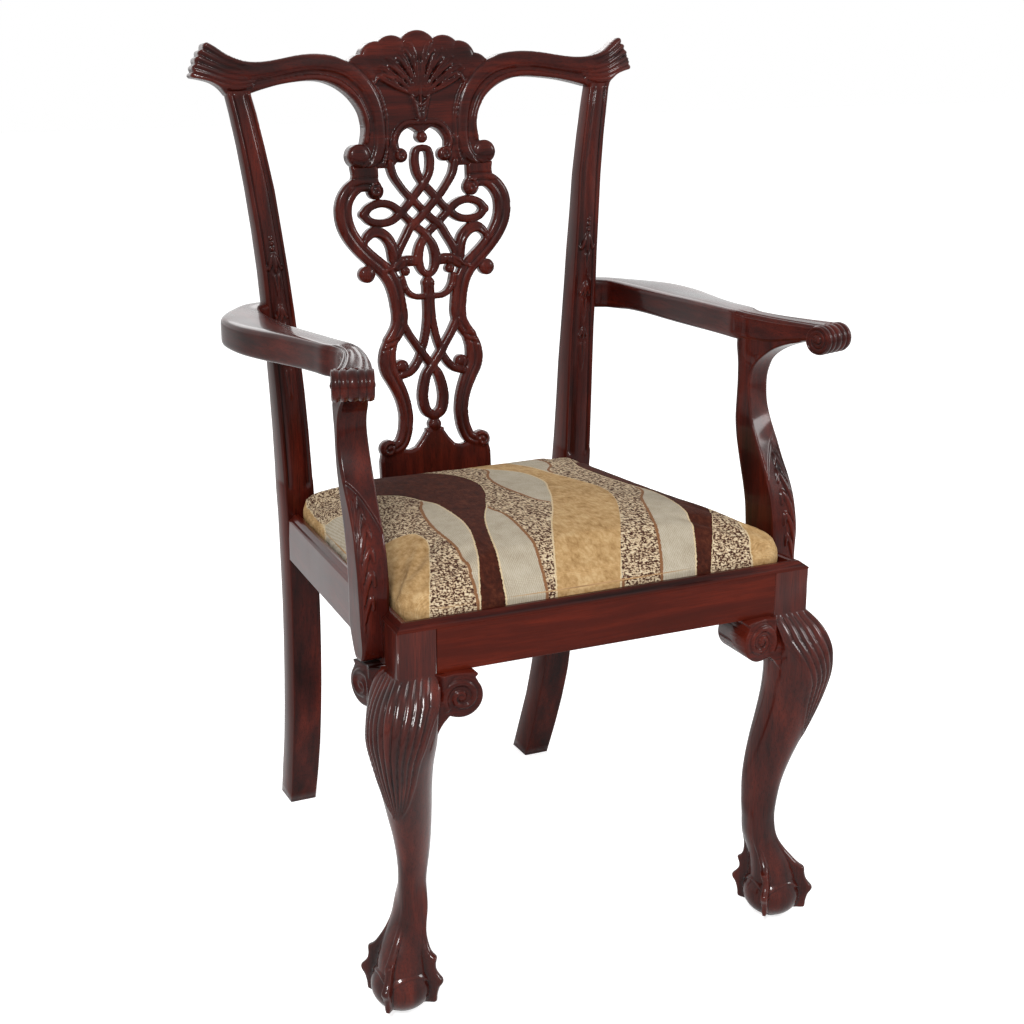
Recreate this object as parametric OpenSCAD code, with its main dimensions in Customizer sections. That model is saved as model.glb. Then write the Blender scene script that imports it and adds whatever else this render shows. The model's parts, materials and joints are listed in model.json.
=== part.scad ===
// Carved open armchair with a pierced back, cabriole front legs and a drop-in seat.
// Millimetres, +Z up. The sitter faces -Y. The origin is on the floor, under the middle of the chair's box.

/* [Seat rails] */
// Width over the front corners of the seat rails
seat_front_w = 504; // [460:1:560]
// Width over the rear posts at the seat
seat_back_w = 428; // [390:1:460]
// Depth from the front rail's face to the rear posts
seat_d = 472; // [430:1:520]
// Height of the rails' top at the front, under the edge moulding
seat_z = 452; // [430:1:480]
// Height of each seat rail
rail_h = 50; // [40:1:65]
// Thickness of each seat rail
rail_t = 27; // [22:1:34]
// How far the seat falls from front to back
seat_fall = 18; // [0:1:30]
// Width of the moulding on the rails' top edge
moulding_w = 15; // [12:1:18]
// Height of the moulding on the rails' top edge
moulding_h = 9; // [6:0.5:14]

/* [Rear posts] */
// Width of a rear post at the seat
post_w = 38; // [32:1:46]
// Depth of a rear post at the seat
post_d = 41.5; // [34:0.5:50]
// How far the posts spread outwards from the seat to the crest rail, each
post_splay = 48.5; // [20:0.5:70]
// How far the rear feet stand behind the seat
leg_kick = 84; // [40:1:110]
// How far the posts lean back from the seat to the crest rail
back_rake = 37; // [20:1:70]

/* [Crest rail and splat] */
// Height of the crest rail, from the top of the splat to the top of the carved shell
crest_h = 169.5; // [150:0.5:190]
// How far the crest rail's ears reach out past the posts' centres
ear_reach = 53.5; // [44:0.5:66]
// Thickness of the crest rail
crest_t = 24; // [18:1:32]
// How far the crest rail bows back between the posts
crest_bow = 25; // [8:1:40]
// Width of the pierced splat
splat_w = 240; // [200:1:260]
// Height of the splat from the shoe to the crest rail
splat_h = 400; // [380:1:420]
// Thickness of the splat
splat_t = 14; // [10:0.5:20]
// Height of the shoe that holds the splat
shoe_h = 34; // [24:1:44]

/* [Front legs] */
// Side of a front leg's square top
leg_post_w = 44.5; // [38:0.5:52]
// Radius of the leg at the knee
knee_r = 41.5; // [34:0.5:46]
// Radius of the leg at the ankle
ankle_r = 20; // [16:0.5:24]
// Radius of the ball that the claw grips
ball_r = 34; // [28:0.5:40]
// Length of a knee bracket along the rail, from the leg's outer corner
bracket_l = 91; // [75:1:100]
// Drop of a knee bracket under the rail
bracket_h = 76; // [60:1:85]
// Radius of the scroll on a knee bracket
bracket_r = 24; // [18:0.5:28]
// How far a knee bracket stands proud of the rail
bracket_out = 13; // [8:0.5:18]
// Side bracket's face, out from the side rail (mm)
bracket_side_out = 24; // [10:0.5:28]

/* [Arms] */
// How far the arms bow out past the sides of the seat
arm_bow = 88; // [60:1:100]
// Height of the arms' top at the front scroll
arm_z = 727; // [700:1:760]
// Thickness of an arm in the middle
arm_t = 34; // [28:0.5:40]
// Radius of the arm's front scroll
arm_scroll_r = 17; // [13:0.5:22]
// Width of the arm's front scroll
arm_scroll_w = 36; // [28:0.5:44]
// How far an arm support stands out from the side rail
support_out = 24; // [18:0.5:27]
// How far an arm support reaches in over the side rail
support_in = 7; // [5:0.5:11]

/* [Drop-in seat] */
// Thickness of the drop-in seat's wooden frame
frame_t = 16; // [12:0.5:22]
// Width of the frame's members
frame_w = 52; // [40:1:70]
// Height of the padded edge above the frame
pad_edge_h = 12; // [6:1:24]
// Rise of the pad's crown above its edge
pad_crown = 26; // [10:1:40]
// How far the pad's sides draw in between its corners
pad_draw = 5; // [0:0.5:10]
// Thickness of the cover cloth with its lining
cover_t = 1.2; // [0.8:0.1:2]
// Radius of the seat's front corners
seat_corner_r = 34; // [16:1:50]

/* [Joinery] */
// Length of a rail tenon
tenon_l = 18; // [12:1:19]
// Thickness of a rail tenon
tenon_t = 9; // [6:0.5:12]
// Share of the rail's height that a tenon takes
tenon_share = 0.6; // [0.4:0.05:0.7]
// Shank diameter of a wood screw
screw_d = 4.5; // [3.5:0.5:5]
// Head diameter of a wood screw
screw_head_d = 9; // [7:0.5:10]
// Diameter of a dowel
dowel_d = 9; // [6:0.5:12]

/* [Hidden] */

mahogany = [0.30, 0.08, 0.05];
mahogany_dark = [0.22, 0.06, 0.04];
beech = [0.80, 0.66, 0.48];
steel = [0.62, 0.62, 0.64];
cloth = [0.72, 0.58, 0.42];
foam = [0.93, 0.88, 0.72];
jute = [0.62, 0.50, 0.34];
lining = [0.12, 0.12, 0.12];

// Running and sawing allowances
overrun = 1;
bore_gap = 0.1;
rest_gap = 0.05;
seat_gap = 0.8;
seat_rear_gap = 4;
small_round = 3;

// Seat plane: the rails' top falls by this much for each millimetre back
fall = seat_fall / seat_d;
fall_angle = atan(fall);
function seat_top(y) = seat_z - fall * y;
function rail_bottom(y) = seat_top(y) - rail_h;

// Side line of the seat, from the front corner to the rear post
side_k = (seat_front_w - seat_back_w) / 2 / seat_d;
side_angle = atan(side_k);
side_stretch = 1 / cos(side_angle);
function side_x(y) = seat_front_w / 2 - side_k * y;
function side_inner_x(y) = side_x(y) - rail_t * side_stretch;

// Rear posts: rows of height, outward, backward, width and depth, each a share. Heights are shares of
// the leg under the rail, then of the rise from the seat to the top.
post_x = (seat_back_w - post_w) / 2;
post_top_x = post_x + post_splay;
post_leg_shares = [
    [0.000, -0.31, 1.000, 0.95, 1.06],
    [0.156, -0.26, 0.730, 1.00, 1.03],
    [0.314, -0.21, 0.500, 1.03, 1.01],
    [0.520, -0.16, 0.300, 1.04, 1.00],
    [0.753, -0.10, 0.140, 1.02, 1.00],
    [0.941,  0.00, 0.000, 1.00, 1.00],
];
post_back_shares = [
    [0.027, 0.000,  0.00, 1.00, 1.00],
    [0.127, 0.080, -0.04, 1.00, 0.95],
    [0.236, 0.130,  0.01, 0.98, 0.87],
    [0.391, 0.220,  0.13, 0.95, 0.77],
    [0.540, 0.340,  0.26, 0.91, 0.73],
    [0.690, 0.490,  0.43, 0.84, 0.68],
    [0.824, 0.655,  0.66, 0.80, 0.61],
    [0.916, 0.820,  0.82, 0.775, 0.58],
    [1.000, 1.000,  1.00, 0.75, 0.555],
];
post_steps = 3;

// Front legs: rows of height, place of the centre from the front corner, the radius as shares of the knee's,
// the ankle's and the ball's, how far the claws stand out, and how much longer the ring is toward the corner.
// Heights are shares of the leg under the rail, and places are shares of the square.
leg_h = seat_z - rail_h;
leg_rows_shares = [
    [0.000, 0.34, 0.49, 0.00, 0.00, 0.50, 0.00, 0.00],
    [0.025, 0.34, 0.49, 0.00, 0.00, 0.79, 0.10, 0.00],
    [0.045, 0.34, 0.49, 0.00, 0.00, 0.93, 0.33, 0.00],
    [0.065, 0.34, 0.49, 0.00, 0.00, 0.99, 0.26, 0.00],
    [0.090, 0.34, 0.49, 0.00, 0.00, 0.99, 0.33, 0.00],
    [0.112, 0.34, 0.49, 0.00, 0.00, 0.91, 0.58, 0.00],
    [0.130, 0.35, 0.50, 0.00, 0.00, 0.88, 0.52, 0.00],
    [0.154, 0.36, 0.55, 0.00, 0.00, 0.84, 0.40, 0.00],
    [0.180, 0.38, 0.61, 0.00, 0.00, 0.78, 0.50, 0.00],
    [0.210, 0.40, 0.68, 0.00, 0.00, 0.72, 0.32, 0.00],
    [0.240, 0.48, 0.76, 0.00, 0.00, 0.66, 0.18, 0.00],
    [0.280, 0.56, 0.84, 0.00, 0.56, 0.25, 0.10, 0.00],
    [0.323, 0.59, 0.87, 0.00, 0.94, 0.00, 0.00, 0.10],
    [0.373, 0.62, 0.85, 0.00, 0.93, 0.00, 0.00, 0.15],
    [0.448, 0.62, 0.766, 0.00, 1.03, 0.00, 0.00, 0.16],
    [0.522, 0.571, 0.636, 0.24, 0.64, 0.00, 0.00, 0.17],
    [0.597, 0.425, 0.521, 0.50, 0.31, 0.00, 0.00, 0.13],
    [0.672, 0.326, 0.333, 0.66, 0.09, 0.00, 0.00, 0.13],
    [0.746, 0.184, 0.222, 0.80, 0.00, 0.00, 0.00, 0.08],
    [0.821, 0.126, 0.106, 0.90, 0.00, 0.00, 0.00, 0.035],
    [0.896, 0.180, 0.155, 1.00, 0.00, 0.00, 0.00, -0.083],
    [0.958, 0.326, 0.337, 0.865, 0.00, 0.00, 0.00, -0.10],
    [0.985, 0.430, 0.440, 0.75, 0.00, 0.00, 0.00, -0.08],
];
leg_points = 24;
function leg_radius(r) = r[3] * knee_r + r[4] * ankle_r + r[5] * ball_r;
function leg_claw(a) = pow(max(0, cos(2 * (a - 45)), cos(2 * (a + 45))), 6);
function leg_ring(r) = let (
    cx = seat_front_w / 2 - r[1] * leg_post_w,
    cy = r[2] * leg_post_w,
    rad = leg_radius(r))
    [for (j = [0:leg_points - 1])
        let (a = j * 360 / leg_points,
            q = rad * (1 + r[6] * leg_claw(a)) / norm([cos(a + 45) / (1 + r[7]), sin(a + 45) / (1 - r[7])]))
        [cx + q * cos(a), cy + q * sin(a), r[0] * leg_h]];
leg_shape_rings = [for (r = smooth(leg_rows_shares, 2)) leg_ring(r)];

// Depth of the whole chair, from the knees to the rear feet
foot_back = seat_d + leg_kick + post_leg_shares[0][4] * post_d;
knee_out = -min([for (ring = leg_shape_rings) for (p = ring) p[1]]);
centre_y = (foot_back - knee_out) / 2;

// Knee brackets: an outline beside the leg, in shares of the bracket's length and drop
bracket_shares = [[0, 0], [0.90, 0], [0.74, 0.35], [0.60, 0.62], [0.52, 0.68], [0.45, 0.80], [0.41, 0.93],
    [0.39, 1], [0, 1]];
bracket_scroll_share = [0.736, 0.349];

// Back plane, which carries the splat and the crest rail
back_tilt = 5.4;
back_z = seat_top(seat_d) + shoe_h;
back_set_share = 0.38;
back_y = seat_d + back_set_share * post_d;
splat_top_z = splat_h;
post_reach_share = 0.58;
post_h = back_z + (splat_h + post_reach_share * crest_h) * cos(back_tilt);
post_rise = post_h - seat_top(seat_d);
function on_back_z(y_off, z_off) = back_z + z_off * cos(back_tilt) - y_off * sin(back_tilt);

// Splat outlines: across in shares of 240 to its width, up in shares of 400 to its height
splat_x = splat_w / 240;
splat_u = splat_h / 400;
loop_top_shares = [[0, 424, 8], [8, 421, 9], [10.5, 409, 10], [8.5, 393, 10], [0, 379, 10],
    [-8, 370, 10], [-16, 361, 10], [-25, 351, 10], [-33, 344, 10]];
loop_low_shares = [[33, 344, 10], [25, 336, 10], [16, 327, 10], [8, 321, 10], [0, 313, 10],
    [-8, 302, 11], [-12, 289, 12], [-11.5, 277, 11], [-7, 267, 9], [0, 263, 9]];
eye_top_shares = [[30, 341, 10], [42, 351, 9], [52, 355.5, 9], [64, 356, 9], [76, 352, 9], [83, 343, 10]];
eye_low_shares = [[30, 346, 10], [42, 336.5, 9], [52, 332.5, 9], [64, 332, 9], [76, 335, 9], [83, 344, 10]];
cross_shares = [[44, 402, 10], [40, 390, 9], [33.5, 379, 9], [25, 368, 9], [16, 359, 10], [8, 351, 10],
    [0, 343, 10], [-8, 335, 10], [-20.5, 325, 10], [-28, 313, 10], [-36, 300, 10], [-44, 286, 12]];
scroll_shares = [[66, 376, 16], [78, 380, 18], [90, 378, 19], [100, 369, 20], [107, 357, 21], [108.5, 343, 21],
    [106, 329, 21], [100, 316, 20], [91, 303, 19], [80, 291, 19], [68, 280, 20], [57, 269, 21],
    [49, 256, 21], [44.5, 240, 20], [42, 224, 20], [41, 212, 20], [43, 200, 19], [49, 189, 18], [56, 180, 17]];
side_strap_shares = [[55, 180, 17], [60, 167, 20], [61.5, 154, 22], [60, 142, 21], [54, 130, 20],
    [47, 115, 18.5], [42, 100, 17.5], [39.5, 84, 17], [39.8, 72, 17], [42, 59, 17], [48, 46, 17], [58, 40, 16]];
leaf_shares = [[45, 286, 15], [48, 300, 13], [53, 310, 13], [62, 318, 13], [72, 320, 13], [81, 314, 12],
    [84, 306, 9]];
inner_strap_shares = [[38, 202, 10], [30, 187, 10], [22, 175, 10], [12, 160, 11], [0, 144, 11],
    [-9, 131, 12], [-14.5, 106, 13], [-11, 86, 13], [0, 78, 12]];
centre_strap_shares = [[3.2, 250, 8], [3.2, 230, 8], [3.5, 212, 8], [5, 195, 9], [9, 177, 9],
    [14, 163, 9], [21, 149, 10], [31, 139, 10], [42, 136, 11]];
arch_shares = [[0, 235, 8], [10, 235, 7.5], [18, 235.5, 7.5], [27, 240, 8], [33, 249, 8], [36, 260, 8]];
ledge_shares = [[14, 281, 13], [24, 282, 14], [34, 281, 14], [44, 276, 14]];
// Round eyes, beads and curls: across, up and radius
splat_round_shares = [[66, 372, 10.5], [83.5, 268, 10.5], [66, 40, 12], [42, 147, 8.5],
    [31, 269, 6], [0, 252, 8], [0, 66.5, 8.5]];
splat_base_shares = [[0, 0], [78, 0], [78, 24], [75, 36], [62, 44], [46, 38], [36, 36], [27, 39],
    [19, 48], [13, 57], [6, 61.5], [0, 62]];
splat_block_shares = [[61.5, 400], [97, 400], [95.5, 393], [98, 384], [96, 372], [60, 372], [61.5, 386]];
splat_base_x = splat_base_shares[1][0] * splat_x;
splat_tongue_share = 0.6;
strap_steps = 2;
round_fn = 20;

// Crest rail outline: across in shares of 594 to its width, up in shares of 167 to its rise
crest_w = 2 * (post_top_x + ear_reach);
crest_x = crest_w / 594;
crest_front = -1;
crest_u = crest_h / 167;
crest_low_shares = [[0, 44], [6, 45], [15, 48.5], [23, 46], [29, 40], [32, 32], [31, 24], [34, 8],
    [42, 1], [48, 0], [101, 0]];
crest_arm_shares = [[80, 30], [77, 42], [76.5, 54], [79, 67], [85, 78], [94, 88.5], [105, 97], [117, 103],
    [131, 107], [148, 108], [168, 106.5], [190, 103.5], [210, 99], [228, 94]];
crest_ear_shares = [[257, 92], [264, 101], [273, 107.5], [285, 111.5], [297, 114]];
crest_end_shares = [[295.5, 121], [292.5, 130], [288.5, 139], [283, 147], [277, 154.5]];
crest_back_shares = [[268, 148.5], [256, 140], [242, 133.5], [225, 130.5], [205, 131], [185, 134],
    [165, 137.5], [145, 139.5], [128, 139], [112, 136.5], [98, 131], [60, 120], [0, 120]];
crest_round_shares = [[0, 140, 27], [35, 137, 24], [56, 132, 22], [76, 118, 21], [86, 16, 15], [30, 15, 9],
    [0, 37, 8.5]];
// Plan of the crest rail: across in shares of its half width, back in shares of the bow
crest_plan_shares = [[0, 0], [0.20, -0.01], [0.40, -0.18], [0.60, -0.58], [0.78, -0.98],
    [0.85, -1.02], [0.91, -0.86], [1.01, -0.46]];

// Arms: rows of the outer edge, its place back, the inner edge, its place back, the drop of the top and the
// thickness. Edges are shares of the bow, and at the front of the scroll's width, measured from the post's
// outer face and then from the side of the seat. Places are shares of the post's depth behind the seat, and
// then shares of 472 to the seat's depth.
arm_y = seat_d / 472;
arm_rise = 14;
arm_root_shares = [
    [-0.034, 0.94, -0.034, 0.22, 1.00, 1.12],
    [0.260, 0.72, 0.100, -0.05, 1.00, 1.10],
];
arm_bow_shares = [
    [0.687, 478, 0.317, 452, 1.00, 1.06],
    [0.866, 450, 0.323, 428, 0.95, 1.00],
    [0.981, 420, 0.307, 398, 0.88, 0.98],
    [1.003, 388, 0.284, 368, 0.82, 0.98],
    [0.929, 345, 0.250, 335, 0.72, 1.00],
    [0.774, 300, 0.201, 300, 0.58, 1.02],
    [0.613, 260, 0.136, 260, 0.43, 1.02],
    [0.451, 220, 0.074, 220, 0.28, 1.02],
];
arm_hand_shares = [
    [0.810, 182, 0.046, 182, 0.15, 1.01],
    [0.694, 155, -0.042, 155, 0.08, 1.00],
    [0.735, 130, -0.005, 128, 0.03, 0.95],
    [0.941, 98, 0.145, 96, 0.00, 0.82],
    [1.166, 62, 0.291, 62, 0.00, 0.68],
    [1.359, 30, 0.387, 30, 0.00, 0.55],
];
arm_steps = 2;
arm_edge = 3.5;
scroll_in_share = 0.382;
scroll_place_shares = 28;

// Arm supports: rows of height in shares of the rise from the rail's foot to the arm, front and rear edge
// in shares of 472 to the seat's depth, and the inner face in shares of its reach over the rail
support_foot_rise = 3;
support_foot = rail_bottom(0) + support_foot_rise;
support_rise = arm_z - support_foot;
support_y = seat_d / 472;
support_rows_shares = [
    [0.000, 58, 74, 1],
    [0.018, 54, 86, 1],
    [0.060, 53, 99, 1],
    [0.120, 53, 106, 1],
    [0.230, 54.5, 107.5, 1],
    [0.290, 57.5, 109, 1],
    [0.350, 63, 114, 1],
    [0.410, 72, 121, 1],
    [0.475, 85, 128.5, 1],
    [0.540, 98, 134, 1],
    [0.600, 110, 137.5, 1],
    [0.665, 117.5, 139, 1],
    [0.730, 120.5, 139.5, 1],
    [0.800, 119, 140.5, 1],
    [0.845, 116, 143, 0.6],
    [0.875, 110, 147, -0.2],
    [0.905, 104, 150, -0.8],
    [0.940, 102, 150, -0.8],
];
support_steps = 2;

// Joinery places
block_h = 20;
block_rise = 2;
block_rear_rise = block_rise + seat_fall / 3;
block_side = 52;
block_screw_in = 14;
block_screw_skin = 10;
support_screw_in = 12;
support_screw_skin = 20;
support_screw_drop = 13;
support_screw_places_shares = [66, 92];
head_h = 3;
post_tenon_h = 18;
splat_tenon_h = 14;
splat_tenon_w = 24;
splat_tenon_x = 79;
arm_tenon = [14, 26, 16];
arm_tenon_share = 0.25;
dowel_l = 34;
dowel_spread = 9;

// Seat layers above the rails' top
web_w = 50;
web_t = 1.2;
web_wave = 0.75;
web_count = 4;
web_cross_count = 3;
web_long_share = 0.6;
web_cross_share = 0.52;
pad_z = frame_t + 2 * web_t;
rear_corner_r_share = 0.35;
dust_t = 0.8;
dust_lap = 15;
tack_head_r = 4;
tack_head_h = 0.8;
tack_shank_r = 1;
tack_l = 7;
tack_pitch = 62;
dome_shares = [[1.000, 0.00, 0.00, 0.00], [0.998, 0.55, 0.00, 0.60], [0.990, 0.92, 0.02, 1.00],
    [0.972, 1.00, 0.12, 1.00], [0.935, 1.00, 0.28, 1.00], [0.860, 1.00, 0.50, 1.00], [0.740, 1.00, 0.72, 1.00],
    [0.580, 1.00, 0.87, 1.00], [0.380, 1.00, 0.96, 1.00], [0.160, 1.00, 1.00, 1.00]];
dome_corner_steps = 5;
dome_edge_steps = 6;

// A row of values that runs smoothly through the given rows
function curve_point(p0, p1, p2, p3, t) =
    0.5 * (2 * p1 + (p2 - p0) * t + (2 * p0 - 5 * p1 + 4 * p2 - p3) * t * t
        + (3 * p1 - p0 - 3 * p2 + p3) * t * t * t);
function smooth(rows, steps) = concat(
    [for (i = [0:len(rows) - 2], s = [0:steps - 1])
        curve_point(rows[max(i - 1, 0)], rows[i], rows[i + 1], rows[min(i + 2, len(rows) - 1)], s / steps)],
    [rows[len(rows) - 1]]);

// A solid skin over rings of points, each ring with the same count
function loft_faces(n, k) = concat(
    [[for (j = [0:k - 1]) j]],
    [for (i = [0:n - 2], j = [0:k - 1]) [i * k + j, (i + 1) * k + j, (i + 1) * k + (j + 1) % k]],
    [for (i = [0:n - 2], j = [0:k - 1]) [i * k + j, (i + 1) * k + (j + 1) % k, i * k + (j + 1) % k]],
    [[for (j = [k - 1:-1:0]) (n - 1) * k + j]]);
module loft(rings) {
    polyhedron(points = [for (r = rings) each r], faces = loft_faces(len(rings), len(rings[0])), convexity = 8);
}

// Everything is drawn with the front rail's face at zero depth, then moved to the chair's origin
module placed(side = 1) {
    translate([0, -centre_y, 0]) mirror([side < 0 ? 1 : 0, 0, 0]) children();
}
module block(a, b) {
    translate(a) cube(b - a);
}

// Rear posts
function post_ring(r, z, reach) = let (
    x = post_x + r[1] * post_splay,
    y = seat_d + r[2] * reach,
    w = r[3] * post_w / 2,
    d = r[4] * post_d)
    [[x - w, y, z], [x + w, y, z], [x + w, y + d, z], [x - w, y + d, z]];
post_rings = concat(
    [for (r = smooth(post_leg_shares, post_steps)) post_ring(r, r[0] * rail_bottom(seat_d), leg_kick)],
    [for (r = smooth(post_back_shares, post_steps))
        post_ring(r, seat_top(seat_d) + r[0] * post_rise, back_rake)]);
module post_body() {
    loft(post_rings);
}
post_top_y = seat_d + back_rake + post_back_shares[len(post_back_shares) - 1][4] * post_d / 2;
post_tenon = [post_w / 3, post_d / 5, post_tenon_h];
module post_tenon_block() {
    translate([post_top_x - post_tenon[0] / 2, post_top_y - post_tenon[1] / 2, post_h - overrun])
        cube([post_tenon[0], post_tenon[1], post_tenon[2] + overrun]);
}
module rear_post(side) {
    color(mahogany) placed(side) {
        difference() {
            union() {
                post_body();
                post_tenon_block();
            }
            side_rail_tenon_rear();
            rear_rail_tenon();
            arm_dowel_bores();
        }
    }
}

// Tenons, shared by the rail that carries them and the post that is cut for them
tenon_h = tenon_share * rail_h;
function rail_mid(y) = seat_top(y) - rail_h / 2;
module tenon_box(x0, x1, y0, y1, zc) {
    block([x0, y0, zc - tenon_h / 2], [x1, y1, zc + tenon_h / 2]);
}
leg_inner_x = seat_front_w / 2 - leg_post_w;
side_tenon_front_x = side_x(leg_post_w) - rail_t / 2;
side_tenon_rear_x = post_x + post_w / 4;
rear_rail_set = 2;
rear_rail_y = seat_d + rear_rail_set;
rear_rail_t = post_d - 2 * rear_rail_set - small_round;
module side_rail_tenon_front() {
    tenon_box(side_tenon_front_x - tenon_t / 2, side_tenon_front_x + tenon_t / 2,
        leg_post_w - tenon_l, leg_post_w + overrun, rail_mid(leg_post_w));
}
module side_rail_tenon_rear() {
    tenon_box(side_tenon_rear_x - tenon_t / 2, side_tenon_rear_x + tenon_t / 2,
        seat_d - overrun, seat_d + tenon_l, rail_mid(seat_d));
}
module front_rail_tenon() {
    tenon_box(leg_inner_x - overrun, leg_inner_x + tenon_l,
        (rail_t - tenon_t) / 2, (rail_t + tenon_t) / 2, rail_mid(rail_t));
}
module rear_rail_tenon() {
    tenon_box(post_x - post_w / 2 - overrun, post_x - post_w / 2 + tenon_l,
        rear_rail_y + rear_rail_t - 2 * tenon_t, rear_rail_y + rear_rail_t - tenon_t, rail_mid(seat_d));
}

// Seat rails
module rail_side_view(y0, y1) {
    polygon([[y0, rail_bottom(y0)], [y1, rail_bottom(y1)], [y1, seat_top(y1)], [y0, seat_top(y0)]]);
}
module across(half) {
    rotate([90, 0, 90]) translate([0, 0, -half]) linear_extrude(2 * half) children();
}
module front_rail() {
    color(mahogany) placed() {
        difference() {
            union() {
                across(leg_inner_x) rail_side_view(0, rail_t);
                front_rail_tenon();
                mirror([1, 0, 0]) front_rail_tenon();
            }
            block_screw_bores_all();
        }
    }
}
module rear_rail() {
    half = post_x - post_w / 2;
    color(mahogany_dark) placed() {
        difference() {
            union() {
                block([-half, rear_rail_y, rail_bottom(seat_d)],
                    [half, rear_rail_y + rear_rail_t, seat_top(seat_d)]);
                rear_rail_tenon();
                mirror([1, 0, 0]) rear_rail_tenon();
            }
            block_screw_bores_all();
        }
    }
}
module side_rail_body() {
    intersection() {
        translate([0, 0, rail_bottom(seat_d) - overrun]) linear_extrude(rail_h + seat_fall + 2 * overrun)
            polygon([[side_inner_x(leg_post_w), leg_post_w], [side_x(leg_post_w), leg_post_w],
                [side_x(seat_d), seat_d], [side_inner_x(seat_d), seat_d]]);
        across(seat_front_w) rail_side_view(leg_post_w - overrun, seat_d + overrun);
    }
}
module side_rail(side) {
    color(mahogany) placed(side) {
        difference() {
            union() {
                side_rail_body();
                side_rail_tenon_front();
                side_rail_tenon_rear();
            }
            block_screw_bores();
            support_screw_bores();
        }
    }
}

// Edge moulding on the rails: a profile that follows the seat's outline, mitred at the front corners
moulding_profile_shares = [[0, 0], [1, 0], [1, 0.86], [0.88, 1], [0.56, 1], [0.42, 0.82], [0.26, 0.46],
    [0.10, 0.34], [0, 0.20]];
function moulding_ring(x, y, mx, my) = [for (p = moulding_profile_shares)
    let (d = p[0] * moulding_w, py = y + d * my) [x - d * mx, py, seat_top(py) + p[1] * moulding_h]];
front_ring = moulding_ring(seat_front_w / 2, 0, side_stretch + side_k, 1);
rear_ring = moulding_ring(side_x(seat_d), seat_d, side_stretch, 0);
function mirrored(ring) = [for (i = [len(ring) - 1:-1:0]) [-ring[i][0], ring[i][1], ring[i][2]]];
function reversed(ring) = [for (i = [len(ring) - 1:-1:0]) ring[i]];
module seat_moulding_front() {
    color(mahogany) placed() loft([[for (p = front_ring) [-p[0], p[1], p[2]]], front_ring]);
}
module seat_moulding_side(side) {
    color(mahogany) placed(side) difference() {
        loft([front_ring, rear_ring]);
        support_body();
    }
}

// Front legs: a square top, then the cabriole with its claw and ball
top_half = [(side_x(leg_post_w) - leg_inner_x) / 2 - overrun, leg_post_w / 2 - overrun];
function top_ring(z) = let (cx = (side_x(leg_post_w) + leg_inner_x) / 2, cy = leg_post_w / 2)
    [for (j = [0:leg_points - 1])
        let (a = j * 360 / leg_points, q = 1 / max(abs(cos(a)) / top_half[0], abs(sin(a)) / top_half[1]))
        [cx + q * cos(a), cy + q * sin(a), z]];
leg_rings = concat(leg_shape_rings, [top_ring(leg_h), top_ring(leg_h + 2 * overrun)]);
module cabriole() {
    loft(leg_rings);
}
module leg_top() {
    intersection() {
        translate([0, 0, leg_h]) linear_extrude(rail_h + overrun)
            polygon([[leg_inner_x, 0], [side_x(0), 0],
                [side_x(leg_post_w), leg_post_w], [leg_inner_x, leg_post_w]]);
        across(seat_front_w) polygon([[-overrun, leg_h], [leg_post_w + overrun, leg_h],
            [leg_post_w + overrun, seat_top(leg_post_w + overrun)], [-overrun, seat_top(-overrun)]]);
    }
}
module front_leg(side) {
    color(mahogany) placed(side) difference() {
        union() {
            leg_top();
            difference() {
                cabriole();
                across(seat_front_w) rail_side_view(leg_post_w, seat_d);
            }
        }
        front_rail_tenon();
        side_rail_tenon_front();
    }
}

// Knee brackets: a scroll and its wing, under the rail and against the leg
module bracket_outline() {
    translate([-bracket_scroll_share[0] * bracket_l, -bracket_scroll_share[1] * bracket_h])
        circle(bracket_r, $fn = round_fn);
    polygon([for (p = bracket_shares) [-p[0] * bracket_l, -p[1] * bracket_h]]);
}
module knee_bracket_front(side) {
    color(mahogany) placed(side) difference() {
        translate([side_x(0), leg_post_w, leg_h]) rotate([90, 0, 0])
            linear_extrude(leg_post_w + bracket_out) bracket_outline();
        cabriole();
        block([leg_inner_x - overrun, -2 * knee_out, leg_h - bracket_h - overrun],
            [seat_front_w, leg_post_w, leg_h + overrun]);
        across(seat_front_w) rail_side_view(-overrun, rail_t + overrun);
    }
}
module bracket_side_solid() {
    translate([side_x(0), 0, leg_h]) rotate([0, 0, side_angle]) rotate([90, 0, -90])
        translate([0, 0, -bracket_side_out]) linear_extrude(leg_post_w + bracket_side_out) bracket_outline();
}
module knee_bracket_side(side) {
    color(mahogany) placed(side) difference() {
        bracket_side_solid();
        cabriole();
        block([0, -2 * knee_out, leg_h - bracket_h - overrun],
            [seat_front_w, leg_post_w + overrun, leg_h + overrun]);
        across(seat_front_w) rail_side_view(-overrun, seat_d);
    }
}

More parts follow.
